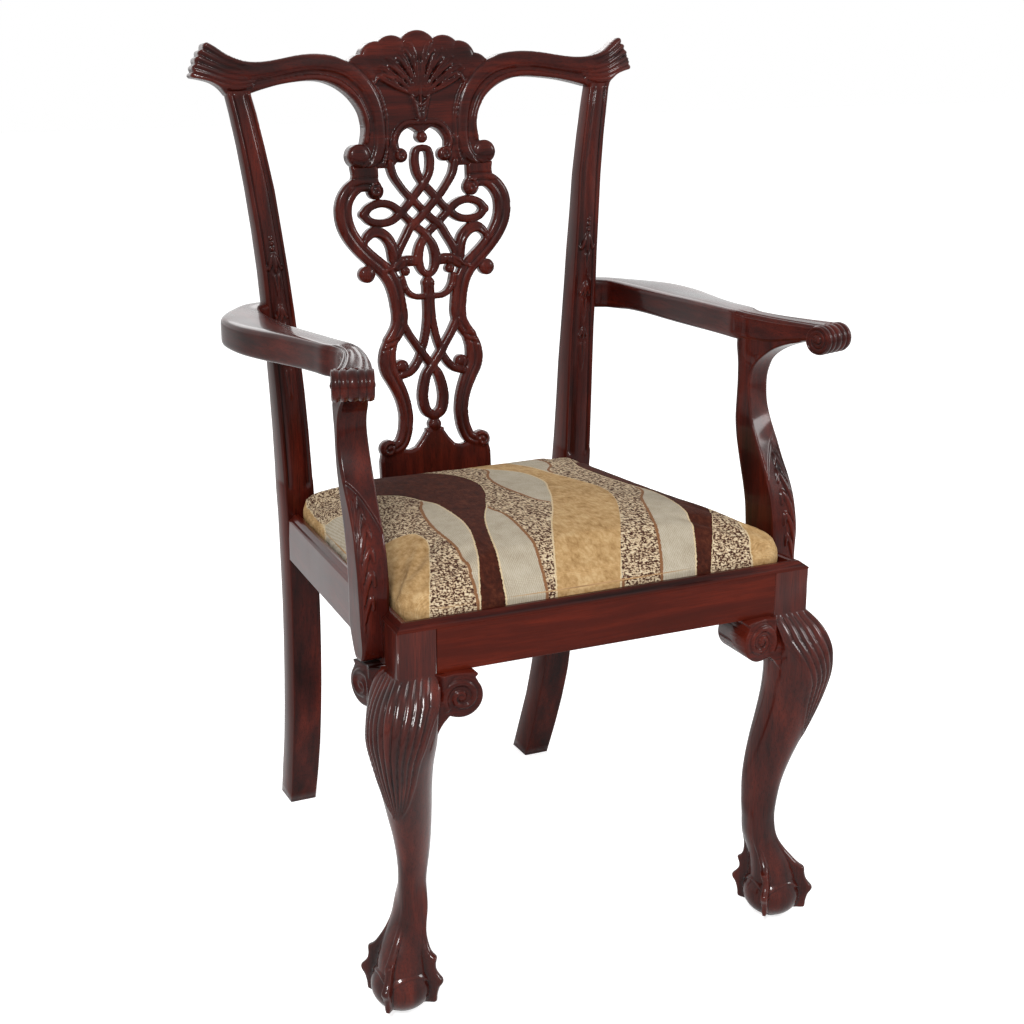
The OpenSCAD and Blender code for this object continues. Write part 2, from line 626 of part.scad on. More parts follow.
// Arms
arm_root_z = arm_z - arm_rise;
function post_share(z, k) =
    lookup((z - seat_top(seat_d)) / post_rise, [for (r = post_back_shares) [r[0], r[k]]]);
arm_root_x = post_x + post_share(arm_root_z, 1) * post_splay + post_share(arm_root_z, 3) * post_w / 2;
function side_row(r, unit) = [side_x(r[1] * arm_y) + r[0] * unit, r[1] * arm_y,
    side_x(r[3] * arm_y) + r[2] * unit, r[3] * arm_y, r[4], r[5]];
arm_rows = concat(
    [for (r = arm_root_shares) [arm_root_x + r[0] * arm_bow, seat_d + r[1] * post_d,
        arm_root_x + r[2] * arm_bow, seat_d + r[3] * post_d, r[4], r[5]]],
    [for (r = arm_bow_shares) side_row(r, arm_bow)],
    [for (r = arm_hand_shares) side_row(r, arm_scroll_w)]);
function arm_ring(r) = let (
    ox = r[0], oy = r[1], ix = r[2], iy = r[3],
    zt = arm_z - r[4] * arm_rise, zb = zt - r[5] * arm_t,
    u = [ox - ix, oy - iy] / norm([ox - ix, oy - iy]) * arm_edge)
    [[ix, iy, zb + arm_edge], [ix + u[0], iy + u[1], zb], [ox - u[0], oy - u[1], zb], [ox, oy, zb + arm_edge],
     [ox, oy, zt - arm_edge], [ox - u[0], oy - u[1], zt], [ix + u[0], iy + u[1], zt], [ix, iy, zt - arm_edge]];
arm_rings = [for (r = smooth(arm_rows, arm_steps)) arm_ring(r)];
scroll_y = scroll_place_shares * arm_y;
scroll_x = side_x(scroll_y) + scroll_in_share * arm_scroll_w;
scroll_z = arm_z - arm_scroll_r;
module arm_body() {
    loft(arm_rings);
    translate([scroll_x, scroll_y, scroll_z]) rotate([0, 90, 0])
        cylinder(h = arm_scroll_w, r = arm_scroll_r, $fn = 48);
}
arm_tenon_y = arm_tenon_share * seat_d;
module arm_tenon_block() {
    mid_x = side_x(arm_tenon_y) + (support_out - support_in) / 2;
    translate([mid_x - arm_tenon[0] / 2, arm_tenon_y - arm_tenon[1] / 2, arm_z - arm_t - overrun])
        cube([arm_tenon[0], arm_tenon[1], arm_tenon[2] + overrun]);
}
module arm(side) {
    color(mahogany) placed(side) difference() {
        arm_body();
        post_body();
        arm_tenon_block();
        arm_dowel_bores();
    }
}

// Arm supports: they stand on the side rail's outer face and reach in over its top
function support_point(y, out, z) = [side_x(y) + out * side_stretch, y, z];
function support_ring(r) = let (
    z = support_foot + r[0] * support_rise, yf = r[1] * support_y, yb = r[2] * support_y,
    in = -r[3] * support_in)
    [support_point(yf, small_round + in, z), support_point(yf, support_out - small_round, z),
     support_point(yf + small_round, support_out, z), support_point(yb - small_round, support_out, z),
     support_point(yb, support_out - small_round, z), support_point(yb, small_round + in, z),
     support_point(yb - small_round, in, z), support_point(yf + small_round, in, z)];
support_rings = [for (r = smooth(support_rows_shares, support_steps)) support_ring(r)];
module support_body() {
    loft(support_rings);
}
module arm_support(side) {
    color(mahogany) placed(side) difference() {
        union() {
            difference() {
                support_body();
                side_rail_body();
                leg_top();
                arm_body();
            }
            intersection() {
                arm_tenon_block();
                arm_body();
            }
        }
        support_screw_bores();
    }
}

// Splat and crest rail stand on the back plane
module on_back() {
    translate([0, back_y, back_z]) rotate([-back_tilt, 0, 0]) children();
}
function band_side(pts, s) = [for (i = [0:len(pts) - 1]) let (
    a = pts[max(i - 1, 0)], b = pts[min(i + 1, len(pts) - 1)],
    d = [b[0] - a[0], b[1] - a[1]] / norm([b[0] - a[0], b[1] - a[1]]))
    [pts[i][0] - s * d[1] * pts[i][2] / 2, pts[i][1] + s * d[0] * pts[i][2] / 2]];
module band(shares) {
    pts = smooth(shares, strap_steps);
    polygon(concat(band_side(pts, 1), reversed(band_side(pts, -1))));
}
splat_bands_shares = [
    loop_top_shares, loop_low_shares, eye_top_shares, eye_low_shares, cross_shares, scroll_shares,
    side_strap_shares, leaf_shares, inner_strap_shares, centre_strap_shares, arch_shares, ledge_shares,
];
module splat_half() {
    for (shares = splat_bands_shares) {
        band(shares);
    }
    for (c = splat_round_shares) {
        translate([c[0], c[1]]) circle(c[2], $fn = round_fn);
    }
    polygon(splat_base_shares);
    polygon(splat_block_shares);
}
module splat_outline() {
    intersection() {
        offset(delta = 0) scale([splat_x, splat_u]) {
            splat_half();
            mirror([1, 0]) splat_half();
        }
        translate([-splat_w, 0]) square([2 * splat_w, splat_top_z]);
    }
}
module splat_tenons() {
    for (side = [-1, 1]) {
        translate([side * splat_tenon_x * splat_x - splat_tenon_w / 2, splat_t / 4, splat_top_z - overrun])
            cube([splat_tenon_w, splat_t / 2, splat_tenon_h + overrun]);
    }
}
module splat_tongue() {
    half = splat_tongue_share * splat_base_x;
    translate([-half, splat_t / 4, -shoe_h / 2]) cube([2 * half, splat_t / 2, shoe_h / 2 + overrun]);
}
module splat() {
    color(mahogany) placed() on_back() {
        translate([0, splat_t, 0]) rotate([90, 0, 0]) linear_extrude(splat_t) splat_outline();
        splat_tenons();
        splat_tongue();
    }
}
module crest_half() {
    polygon(concat(crest_low_shares, crest_arm_shares, crest_ear_shares, crest_end_shares,
        crest_back_shares));
    for (c = crest_round_shares) {
        translate([c[0], c[1]]) circle(c[2], $fn = round_fn);
    }
}
module crest_outline() {
    offset(delta = 0) scale([crest_x, crest_u]) {
        crest_half();
        mirror([1, 0]) crest_half();
    }
}
crest_plan = smooth(crest_plan_shares, 2);
function crest_face(dy) = [for (p = crest_plan) [p[0] * crest_w / 2, crest_front + p[1] * crest_bow + dy]];
module crest_slab() {
    front = crest_face(0);
    back = crest_face(crest_t);
    translate([0, 0, splat_top_z - crest_h]) linear_extrude(3 * crest_h)
        polygon(concat([for (p = reversed(front)) [-p[0], p[1]]], front,
            reversed(back), [for (p = back) [-p[0], p[1]]]));
}
module crest_rail() {
    color(mahogany) placed() difference() {
        on_back() intersection() {
            translate([0, crest_w / 2, splat_top_z]) rotate([90, 0, 0]) linear_extrude(crest_w) crest_outline();
            crest_slab();
        }
        on_back() splat_tenons();
        for (side = [0, 1]) {
            mirror([side, 0, 0]) {
                post_tenon_block();
                translate([post_top_x - post_w, seat_d, post_h - post_w])
                    cube([2 * post_w, 2 * post_d, post_w]);
            }
        }
    }
}
module splat_shoe() {
    top = on_back_z(0, 0);
    color(mahogany_dark) placed() difference() {
        across(splat_base_x) polygon([
            [rear_rail_y, seat_top(seat_d)], [rear_rail_y + rear_rail_t, seat_top(seat_d)],
            [rear_rail_y + rear_rail_t, on_back_z(rear_rail_y + rear_rail_t - back_y, 0)],
            [back_y, top], [rear_rail_y, top - shoe_h / 2]]);
        on_back() splat_tongue();
    }
}

// Corner blocks, each cut to the rails and the post beside it
module corner_block_front(side) {
    z0 = leg_h + block_rise;
    color(beech) placed(side) difference() {
        translate([0, 0, z0]) linear_extrude(block_h) polygon([
            [leg_inner_x - block_side, rail_t], [leg_inner_x, rail_t], [leg_inner_x, leg_post_w],
            [side_inner_x(leg_post_w), leg_post_w],
            [side_inner_x(leg_post_w + block_side), leg_post_w + block_side]]);
        block_screw_bores();
    }
}
module corner_block_rear(side) {
    z0 = rail_bottom(seat_d) + block_rear_rise;
    inner = post_x - post_w / 2;
    color(beech) placed(side) difference() {
        translate([0, 0, z0]) linear_extrude(block_h) polygon([
            [inner - block_side, rear_rail_y], [side_inner_x(seat_d - block_side), seat_d - block_side],
            [side_inner_x(seat_d), seat_d], [inner, seat_d], [inner, rear_rail_y]]);
        block_screw_bores();
    }
}

// Wood screws: a flat head on a shank, pointing along -Z from the underside of the head
module screw(len) {
    translate([0, 0, -len]) cylinder(h = len + overrun, r = screw_d / 2, $fn = 32);
    cylinder(h = head_h, r = screw_head_d / 2, $fn = 32);
}
module screw_bore(len, well) {
    translate([0, 0, -len - overrun]) cylinder(h = len + 2 * overrun, r = screw_d / 2 + bore_gap, $fn = 32);
    cylinder(h = well, r = screw_head_d / 2 + bore_gap, $fn = 32);
}
block_front_z = leg_h + block_rise + block_h / 2;
block_rear_z = rail_bottom(seat_d) + block_rear_rise + block_h / 2;
block_screw_len = block_screw_skin + block_screw_in;
// Places where a corner block's screws go: one into the front or rear rail, one into the side rail
module at_block_screws() {
    x_front = leg_inner_x - block_side / 2;
    translate([x_front, rail_t + block_screw_skin, block_front_z]) rotate([-90, 0, 0]) children();
    x_rear = post_x - post_w / 2 - block_side / 2;
    translate([x_rear, rear_rail_y - block_screw_skin, block_rear_z]) rotate([90, 0, 0]) children();
    y_front = leg_post_w + block_side / 2;
    on_side(y_front, block_front_z) children();
    y_rear = seat_d - block_side / 2;
    on_side(y_rear, block_rear_z) children();
}
module on_side(y, z) {
    translate([side_inner_x(y), y, z]) rotate([0, 0, side_angle])
        translate([-block_screw_skin, 0, 0]) rotate([0, -90, 0]) children();
}
module block_screw_bores() {
    at_block_screws() screw_bore(block_screw_len, block_side);
}
module block_screw_bores_all() {
    block_screw_bores();
    mirror([1, 0, 0]) block_screw_bores();
}
module corner_block_screws() {
    color(steel) placed() for (m = [0, 1]) {
        mirror([m, 0, 0]) at_block_screws() screw(block_screw_len);
    }
}

// Screws that hold the arm supports, driven from inside the side rail
support_screw_len = support_screw_skin + support_screw_in;
module at_support_screws() {
    for (y = support_screw_places_shares * support_y) {
        translate([side_x(y), y, seat_top(y) - support_screw_drop]) rotate([0, 0, side_angle])
            translate([-support_screw_skin, 0, 0]) rotate([0, -90, 0]) children();
    }
}
module support_screw_bores() {
    at_support_screws() screw_bore(support_screw_len, rail_t);
}
module arm_support_screws() {
    color(steel) placed() for (m = [0, 1]) {
        mirror([m, 0, 0]) at_support_screws() screw(support_screw_len);
    }
}

// Dowels between the arm's rear end and the post
dowel_z = arm_root_z - arm_root_shares[0][5] * arm_t / 2;
dowel_x = arm_root_x - dowel_l / 2;
dowel_y = seat_d + post_share(dowel_z, 2) * back_rake + post_share(dowel_z, 4) * post_d / 2;
module at_dowels() {
    for (s = [-1, 1]) {
        translate([dowel_x, dowel_y, dowel_z + s * dowel_spread]) rotate([0, 90, 0]) children();
    }
}
module arm_dowel_bores() {
    at_dowels() translate([0, 0, -bore_gap])
        cylinder(h = dowel_l + 2 * bore_gap, r = dowel_d / 2 + bore_gap, $fn = 32);
}
module arm_dowels() {
    color(beech) placed() for (m = [0, 1]) {
        mirror([m, 0, 0]) at_dowels() cylinder(h = dowel_l, r = dowel_d / 2, $fn = 32);
    }
}

// Drop-in seat: everything is drawn on the rails' top plane, which falls to the back
module on_seat() {
    translate([0, 0, seat_z + rest_gap]) rotate([-fall_angle, 0, 0]) children();
}
plane_d = seat_d / cos(fall_angle);
seat_front_s = moulding_w + seat_gap;
seat_rear_s = plane_d - seat_rear_gap;
seat_mid = [0, (seat_front_s + seat_rear_s) / 2];
function seat_half(s, inset) = seat_front_w / 2 - side_k * s - (moulding_w + seat_gap + inset) * side_stretch;
function seat_corner(i, inset) = let (
    s = i < 2 ? seat_front_s + inset : seat_rear_s - inset,
    x = seat_half(s, inset))
    [i == 0 || i == 3 ? -x : x, s];
function corner_r(i) = i < 2 ? seat_corner_r : seat_corner_r * rear_corner_r_share;
function toward(a, b, r) = a + (b - a) / norm(b - a) * r;
function drawn(p, pull) = p + (seat_mid - p) / norm(seat_mid - p) * pull;
function seat_rim(inset, pull = 0) = [for (i = [0:3]) let (
    c = seat_corner(i, inset), p = seat_corner((i + 3) % 4, inset), n = seat_corner((i + 1) % 4, inset),
    nr = corner_r((i + 1) % 4),
    a = toward(c, p, corner_r(i)), b = toward(c, n, corner_r(i)), e = toward(n, c, nr))
    each concat(
        [for (k = [0:dome_corner_steps]) let (t = k / dome_corner_steps)
            (1 - t) * (1 - t) * a + 2 * t * (1 - t) * c + t * t * b],
        [for (k = [1:dome_edge_steps - 1]) let (t = k / dome_edge_steps)
            drawn(b + (e - b) * t, pull * sin(180 * t))])];
seat_half_d = (seat_rear_s - seat_front_s) / 2;
function to_oval(v) = v / norm([v[0] / seat_half(seat_mid[1], 0), v[1] / seat_half_d]);
function dome_ring(row, inset) = let (
    z = pad_z + cover_t - inset + row[1] * pad_edge_h + row[2] * pad_crown)
    [for (p = seat_rim(inset, row[3] * pad_draw)) let (
        v = p - seat_mid,
        q = seat_mid + (row[0] * v + (1 - row[0]) * to_oval(v)) * row[0])
        [q[0], q[1], z]];
cover_rings = [for (row = dome_shares) dome_ring(row, 0)];
lining_rings = [for (row = dome_shares) dome_ring(row, cover_t)];
function lowered(ring, z) = [for (p = ring) [p[0], p[1], z]];
module seat_cover() {
    color(cloth) placed() on_seat() difference() {
        loft(concat([lowered(cover_rings[0], 0)], cover_rings));
        loft(concat([lowered(lining_rings[0], -overrun)], lining_rings));
    }
}
module seat_pad() {
    color(foam) placed() on_seat() loft(lining_rings);
}
module frame_outline() {
    polygon(seat_rim(cover_t));
}
frame_front_s = seat_front_s + cover_t + frame_w;
frame_rear_s = seat_rear_s - cover_t - frame_w;
module frame_piece() {
    difference() {
        linear_extrude(frame_t) intersection() {
            frame_outline();
            children();
        }
        tack_bores();
    }
}
module seat_frame_front() {
    color(beech) placed() on_seat() frame_piece()
        translate([-seat_front_w, 0]) square([2 * seat_front_w, frame_front_s]);
}
module seat_frame_back() {
    color(beech) placed() on_seat() frame_piece()
        translate([-seat_front_w, frame_rear_s]) square([2 * seat_front_w, seat_d]);
}
module seat_frame_side(side) {
    color(beech) placed(side) on_seat() frame_piece() polygon([
        [seat_half(frame_front_s, cover_t) - frame_w, frame_front_s], [seat_front_w, frame_front_s],
        [seat_front_w, frame_rear_s], [seat_half(frame_rear_s, cover_t) - frame_w, frame_rear_s]]);
}

// Webbing: woven strips, whose waves follow the strips that they cross
frame_inner_d = frame_rear_s - frame_front_s;
web_s0 = frame_front_s - frame_w / 2;
web_s1 = frame_rear_s + frame_w / 2;
function web_x(i) = (i - (web_count - 1) / 2) * web_pitch_x;
function web_s(j) = frame_front_s + (j + 0.5) * frame_inner_d / web_cross_count;
web_pitch_x = (seat_half(frame_rear_s, cover_t) * 2 - 2 * frame_w) / web_count;
function web_level(up) = frame_t + (up ? web_wave : -web_wave);
module ribbon(stops) {
    linear_extrude(web_w) polygon(concat(stops, [for (p = reversed(stops)) [p[0], p[1] + web_t]]));
}
module seat_webbing() {
    color(jute) placed() on_seat() {
        for (i = [0:web_count - 1]) {
            stops = concat([[web_s0, frame_t], [frame_front_s, frame_t]],
                [for (j = [0:web_cross_count - 1], e = [-web_long_share, web_long_share])
                    [web_s(j) + e * web_w, web_level((i + j) % 2 == 0)]],
                [[frame_rear_s, frame_t], [web_s1, frame_t]]);
            translate([web_x(i) - web_w / 2, 0, 0]) rotate([90, 0, 90]) ribbon(stops);
        }
        for (j = [0:web_cross_count - 1]) {
            x_in = seat_half(web_s(j) + web_w / 2, cover_t) - frame_w;
            x_out = x_in + frame_w / 2;
            stops = concat([[-x_out, frame_t], [-x_in, frame_t]],
                [for (i = [0:web_count - 1], e = [-web_cross_share, web_cross_share])
                    [web_x(i) + e * web_w, web_level((i + j) % 2 == 1)]],
                [[x_in, frame_t], [x_out, frame_t]]);
            translate([0, web_s(j) + web_w / 2, 0]) rotate([90, 0, 0]) ribbon(stops);
        }
    }
}

// Dust cover under the frame, with its tacks
function dust_half(s) = seat_half(s, cover_t) - frame_w + dust_lap;
dust_s0 = frame_front_s - dust_lap;
dust_s1 = frame_rear_s + dust_lap;
module seat_dust_cover() {
    color(lining) placed() on_seat() difference() {
        translate([0, 0, -dust_t]) linear_extrude(dust_t) polygon([
            [-dust_half(dust_s0), dust_s0], [dust_half(dust_s0), dust_s0],
            [dust_half(dust_s1), dust_s1], [-dust_half(dust_s1), dust_s1]]);
        tack_bores();
    }
}
tack_in = dust_lap / 2;
function tack_half(s) = dust_half(s) - tack_in;
function spaced(a, b) = let (n = max(1, floor(abs(b - a) / tack_pitch))) [for (i = [0:n]) a + (b - a) * i / n];
tack_places = concat(
    [for (x = spaced(-tack_half(dust_s0 + tack_in), tack_half(dust_s0 + tack_in))) [x, dust_s0 + tack_in]],
    [for (x = spaced(-tack_half(dust_s1 - tack_in), tack_half(dust_s1 - tack_in))) [x, dust_s1 - tack_in]],
    [for (s = spaced(dust_s0 + tack_pitch, dust_s1 - tack_pitch), m = [-1, 1]) [m * tack_half(s), s]]);
module tack_bores() {
    for (p = tack_places) {
        translate([p[0], p[1], -dust_t - overrun])
            cylinder(h = dust_t + overrun + tack_l + bore_gap, r = tack_shank_r + bore_gap, $fn = 16);
    }
}
module seat_tacks() {
    color(steel) placed() on_seat() for (p = tack_places) {
        translate([p[0], p[1], -dust_t - tack_head_h]) cylinder(h = tack_head_h, r = tack_head_r, $fn = 16);
        translate([p[0], p[1], -dust_t - tack_head_h])
            cylinder(h = dust_t + tack_head_h + tack_l, r = tack_shank_r, $fn = 16);
    }
}

rear_post(-1);  // rear_post_left
rear_post(1);  // rear_post_right
crest_rail();
splat();
splat_shoe();
rear_rail();
front_rail();
side_rail(-1);  // side_rail_left
side_rail(1);  // side_rail_right
seat_moulding_front();
seat_moulding_side(-1);  // seat_moulding_left
seat_moulding_side(1);  // seat_moulding_right
front_leg(-1);  // front_leg_left
front_leg(1);  // front_leg_right
knee_bracket_front(-1);  // knee_bracket_front_left
knee_bracket_front(1);  // knee_bracket_front_right
knee_bracket_side(-1);  // knee_bracket_side_left
knee_bracket_side(1);  // knee_bracket_side_right
arm(-1);  // arm_left
arm(1);  // arm_right
arm_support(-1);  // arm_support_left
arm_support(1);  // arm_support_right
corner_block_front(-1);  // corner_block_front_left
corner_block_front(1);  // corner_block_front_right
corner_block_rear(-1);  // corner_block_rear_left
corner_block_rear(1);  // corner_block_rear_right
corner_block_screws();
arm_support_screws();
arm_dowels();
seat_frame_front();
seat_frame_back();
seat_frame_side(-1);  // seat_frame_left
seat_frame_side(1);  // seat_frame_right
seat_webbing();
seat_pad();
seat_cover();
seat_dust_cover();
seat_tacks();
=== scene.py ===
# %% [markdown]
# A carved mahogany armchair is dressed here over its frame of exact solids. The frame gives every piece its
# place. The carved pieces are then made again as fine meshes, because carving is a surface that only looks
# right with thousands of small facets. All the sizes below are millimetres, measured from the front rail's
# face, and one helper turns them into the metres of the frame.
# %% The frame and its box
import json
import math
import bpy
import bmesh
import numpy as np
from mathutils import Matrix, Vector


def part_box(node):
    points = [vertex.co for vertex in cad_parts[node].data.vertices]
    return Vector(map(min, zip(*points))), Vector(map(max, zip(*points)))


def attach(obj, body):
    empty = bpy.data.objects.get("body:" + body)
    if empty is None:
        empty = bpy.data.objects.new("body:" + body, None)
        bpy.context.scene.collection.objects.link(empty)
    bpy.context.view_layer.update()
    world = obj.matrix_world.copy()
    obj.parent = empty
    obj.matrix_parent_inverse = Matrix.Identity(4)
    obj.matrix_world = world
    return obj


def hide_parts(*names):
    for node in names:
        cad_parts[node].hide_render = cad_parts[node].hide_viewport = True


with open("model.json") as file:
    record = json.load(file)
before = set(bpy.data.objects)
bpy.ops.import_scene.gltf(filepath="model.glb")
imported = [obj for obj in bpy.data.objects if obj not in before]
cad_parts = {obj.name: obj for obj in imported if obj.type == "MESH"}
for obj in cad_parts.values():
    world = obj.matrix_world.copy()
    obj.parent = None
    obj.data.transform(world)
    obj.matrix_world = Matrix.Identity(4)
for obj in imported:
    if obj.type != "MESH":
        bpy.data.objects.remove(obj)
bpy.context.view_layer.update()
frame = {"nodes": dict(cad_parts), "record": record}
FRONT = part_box("front_rail")[0][1] * 1000
SEAT_X, SEAT_LONG = 252.0, 472.0  # half the rails' width at the front, and their length to the back posts
FALL = 18.0 / SEAT_LONG  # the rails drop this much per millimetre toward the back


# %% [markdown]
# Every shape here comes from short lists of rows. A smooth curve through the rows gives the many
# rows in between, as a maker's spline would.
# %% Curves
def smooth(rows, steps):
    """Rows run smoothly through the given rows, with steps between each two."""
    p = np.array(rows, float)
    q = np.vstack([p[:1], p, p[-1:]])
    out = []
    for i in range(len(p) - 1):
        a, b, c, d = q[i:i + 4]
        for s in range(steps):
            t = s / steps
            out.append(0.5 * (2 * b + (c - a) * t + (2 * a - 5 * b + 4 * c - d) * t * t
                              + (3 * b - a - 3 * c + d) * t ** 3))
    return np.vstack([out, p[-1:]])


def along(rows, z):
    """The row at z, by straight steps between the given rows, whose first column is z."""
    p = np.array(rows, float)
    return [np.interp(z, p[:, 0], p[:, k]) for k in range(1, p.shape[1])]


def levels(*runs):
    """The heights of several runs (from, to, step), in rising order."""
    return np.unique(np.concatenate([np.arange(*run) for run in runs]))


def ease(t):
    """Goes from 0 to 1 without a corner."""
    t = np.clip(t, 0, 1)
    return t * t * (3 - 2 * t)


def bump(t):
    """One in the middle, zero at t = -1 and t = 1."""
    return np.clip(1 - np.asarray(t, float) ** 2, 0, 1)


def dome(t):
    """The same with a half circle for its curve."""
    return np.sqrt(bump(t))


def round_off(t, power=2.0):
    """How far a rounded edge has dropped, at t from its middle (0) to its rim (1)."""
    return 1 - np.sqrt(np.clip(1 - t ** power, 0, 1))


print("curves ready")


# %% [markdown]
# A finished piece needs its mesh, its finish, the body that it rides on and the solids that it stands for.
# The carved pieces also get a layer that says how deep each point lies, which the wood uses to paint shade into grooves
# and light onto edges.
# %% Meshes and places
def hollow_of(mesh):
    """Marks how deep each vertex lies among its neighbours: over zero in grooves, under zero on edges."""
    n, e = len(mesh.vertices), len(mesh.edges)
    co, no, ed = np.zeros(n * 3), np.zeros(n * 3), np.zeros(e * 2, int)
    mesh.vertices.foreach_get("co", co)
    mesh.vertices.foreach_get("normal", no)
    mesh.edges.foreach_get("vertices", ed)
    co, no, ed = co.reshape(-1, 3), no.reshape(-1, 3), ed.reshape(-1, 2)
    a, b = ed[:, 0], ed[:, 1]
    d = co[b] - co[a]
    length = np.maximum(np.linalg.norm(d, axis=1), 1e-7)
    up = d / length[:, None]
    h, w = np.zeros(n), np.zeros(n)
    np.add.at(h, a, (up * no[a]).sum(1))
    np.add.at(h, b, (-up * no[b]).sum(1))
    np.add.at(w, a, 1.0)
    np.add.at(w, b, 1.0)
    h /= np.maximum(w, 1)
    for _ in range(3):
        s = np.zeros(n)
        np.add.at(s, a, h[b])
        np.add.at(s, b, h[a])
        h = 0.4 * h + 0.6 * s / np.maximum(w, 1)
    layer = mesh.attributes.new("hollow", "FLOAT", "POINT")
    layer.data.foreach_set("value", np.clip(h * 4, -1, 1).astype(np.float32))


def metres(points):
    """Millimetre points from the rail's face, as metres of the frame."""
    return (np.array(points, float) + [0, FRONT, 0]) / 1000


def new_mesh(name, points, faces):
    mesh = bpy.data.meshes.new(name)
    mesh.from_pydata(metres(points).tolist(), [], [list(map(int, f)) for f in faces])
    return mesh


def put(name, data):
    """Puts a mesh, a lamp or a camera into the scene."""
    obj = bpy.data.objects.new(name, data)
    bpy.context.scene.collection.objects.link(obj)
    return obj


def baked(obj):
    """A new mesh with the object's modifiers worked in."""
    bpy.context.view_layer.update()
    return bpy.data.meshes.new_from_object(obj.evaluated_get(bpy.context.evaluated_depsgraph_get()))


def seat(name, mesh, material, body="frame", replaces=(), shade=True):
    """Gives a mesh its object, its finish and the body that it rides on."""
    mesh.materials.clear()
    mesh.materials.append(material)
    mesh.polygons.foreach_set("use_smooth", [shade] * len(mesh.polygons))
    mesh.update()
    hollow_of(mesh)
    obj = put(name, mesh)
    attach(obj, body)
    if replaces:
        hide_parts(*replaces)
    print(name, len(mesh.polygons), "faces")
    return obj


def piece(name, verts, faces, material, replaced, merge=0.0):
    """Makes one carved piece from millimetre points. Points closer than merge become one."""
    mesh = new_mesh(name, verts, faces)
    bm = bmesh.new()
    bm.from_mesh(mesh)
    if merge:
        bmesh.ops.remove_doubles(bm, verts=bm.verts, dist=merge / 1000)
        bmesh.ops.dissolve_degenerate(bm, edges=bm.edges, dist=1e-6)
    bmesh.ops.recalc_face_normals(bm, faces=bm.faces)
    bm.to_mesh(mesh)
    bm.free()
    seat(name, mesh, material, replaces=[replaced])


def both(name, verts, faces, material, replaced, merge=0.0):
    """Makes a right piece from its points, and the left one by mirroring them."""
    right = np.array(verts, float)
    piece(name + "_right", right, faces, material, replaced + "_right", merge)
    piece(name + "_left", right * [-1, 1, 1], [f[::-1] for f in faces], material, replaced + "_left", merge)


def tube_faces(rings, points, closed=True):
    """Quads between rings of points, with a whole face at each end."""
    faces = []
    for i in range(rings - 1):
        a, b = i * points, (i + 1) * points
        for j in range(points):
            k = (j + 1) % points
            faces.append((a + j, a + k, b + k, b + j))
    if closed:
        faces.append(tuple(range(points - 1, -1, -1)))
        faces.append(tuple((rings - 1) * points + j for j in range(points)))
    return faces


print("mesh helpers ready")


# %% [markdown]
# Node trees are written in code all through this file, so short helpers make a node, set its values and join
# its inputs.
# %% Helpers for node trees
def node(tree, kind, settings=None, **inputs):
    """One node. An input is named by its label, with _ for a space, or by i and its number."""
    n = tree.nodes.new(kind)
    for key, value in (settings or {}).items():
        setattr(n, key, value)
    for key, value in inputs.items():
        place = n.inputs[int(key[1:]) if key[0] == "i" and key[1:].isdigit() else key.replace("_", " ")]
        if isinstance(value, bpy.types.NodeSocket):
            tree.links.new(value, place)
        else:
            place.default_value = value
    return n


def material_tree(name):
    m = bpy.data.materials.new(name)
    m.use_nodes = True
    m.node_tree.nodes.clear()
    return m, m.node_tree


def object_place(tree):
    return node(tree, "ShaderNodeTexCoord").outputs["Object"]


def stretched(tree, place, scale):
    return node(tree, "ShaderNodeMapping", None, Vector=place, Scale=scale).outputs[0]


def noise(tree, place, scale, detail, **more):
    return node(tree, "ShaderNodeTexNoise", None, Vector=place, Scale=scale, Detail=detail, **more).outputs["Fac"]


def threads(tree, place, axis, scale, **more):
    return node(tree, "ShaderNodeTexWave", {"bands_direction": axis}, Vector=place, Scale=scale, **more).outputs["Fac"]


def math_node(tree, what, a, b=0.0, c=0.0):
    return node(tree, "ShaderNodeMath", {"operation": what}, i0=a, i1=b, i2=c).outputs[0]


def blend(tree, a, share, b, rest):
    """a times share and b times rest, added."""
    return math_node(tree, "MULTIPLY_ADD", a, share, math_node(tree, "MULTIPLY", b, rest))


def spread(tree, value, from_low, from_high, to_low=0.0, to_high=1.0):
    """Moves a range of values to another range, and stops at its ends."""
    return node(tree, "ShaderNodeMapRange", None, Value=value, From_Min=from_low, From_Max=from_high,
                To_Min=to_low, To_Max=to_high).outputs[0]


def mix_colour(tree, fac, a, b, kind="MIX"):
    return node(tree, "ShaderNodeMix", {"data_type": "RGBA", "blend_type": kind, "clamp_factor": True},
                i0=fac, i6=a, i7=b).outputs[2]


def ramp(tree, fac, stops):
    n = node(tree, "ShaderNodeValToRGB", None, Fac=fac)
    e = n.color_ramp.elements
    while len(e) < len(stops):
        e.new(0.5)
    for k, (place, colour) in enumerate(stops):
        e[k].position = place
        e[k].color = (*colour, 1)
    return n.outputs["Color"]


def surface(tree, colour, rough, height, strength, distance, **more):
    """The last nodes of a material: a fine relief over its height, the shader and the output."""
    relief = node(tree, "ShaderNodeBump", None, Strength=strength, Distance=distance, Height=height).outputs[0]
    shader = node(tree, "ShaderNodeBsdfPrincipled", None, Base_Color=colour, Roughness=rough, Normal=relief, **more)
    node(tree, "ShaderNodeOutputMaterial", None, Surface=shader.outputs[0])


print("node helpers ready")


# %% [markdown]
# The wood is old mahogany under a clear, well rubbed polish. Its red comes and goes in long streaks along
# the grain, and fine pores run the same way. Shade is painted darker into every groove of the carving, and light
# is painted onto the rounded edges as a brighter red. The streaks are noise that is stretched along the grain, so
# each board gets the direction of its own grain. The polish is a coat over the wood, which gives the pale sheen that
# white walls leave on it.
# %% Mahogany
STREAK, PORE = (3.0, 46.0), (26.0, 900.0)  # noise scale along the grain and across it


def grained(scales, grain, times=1.0):
    return [times * scales[axis != grain] for axis in "XYZ"]


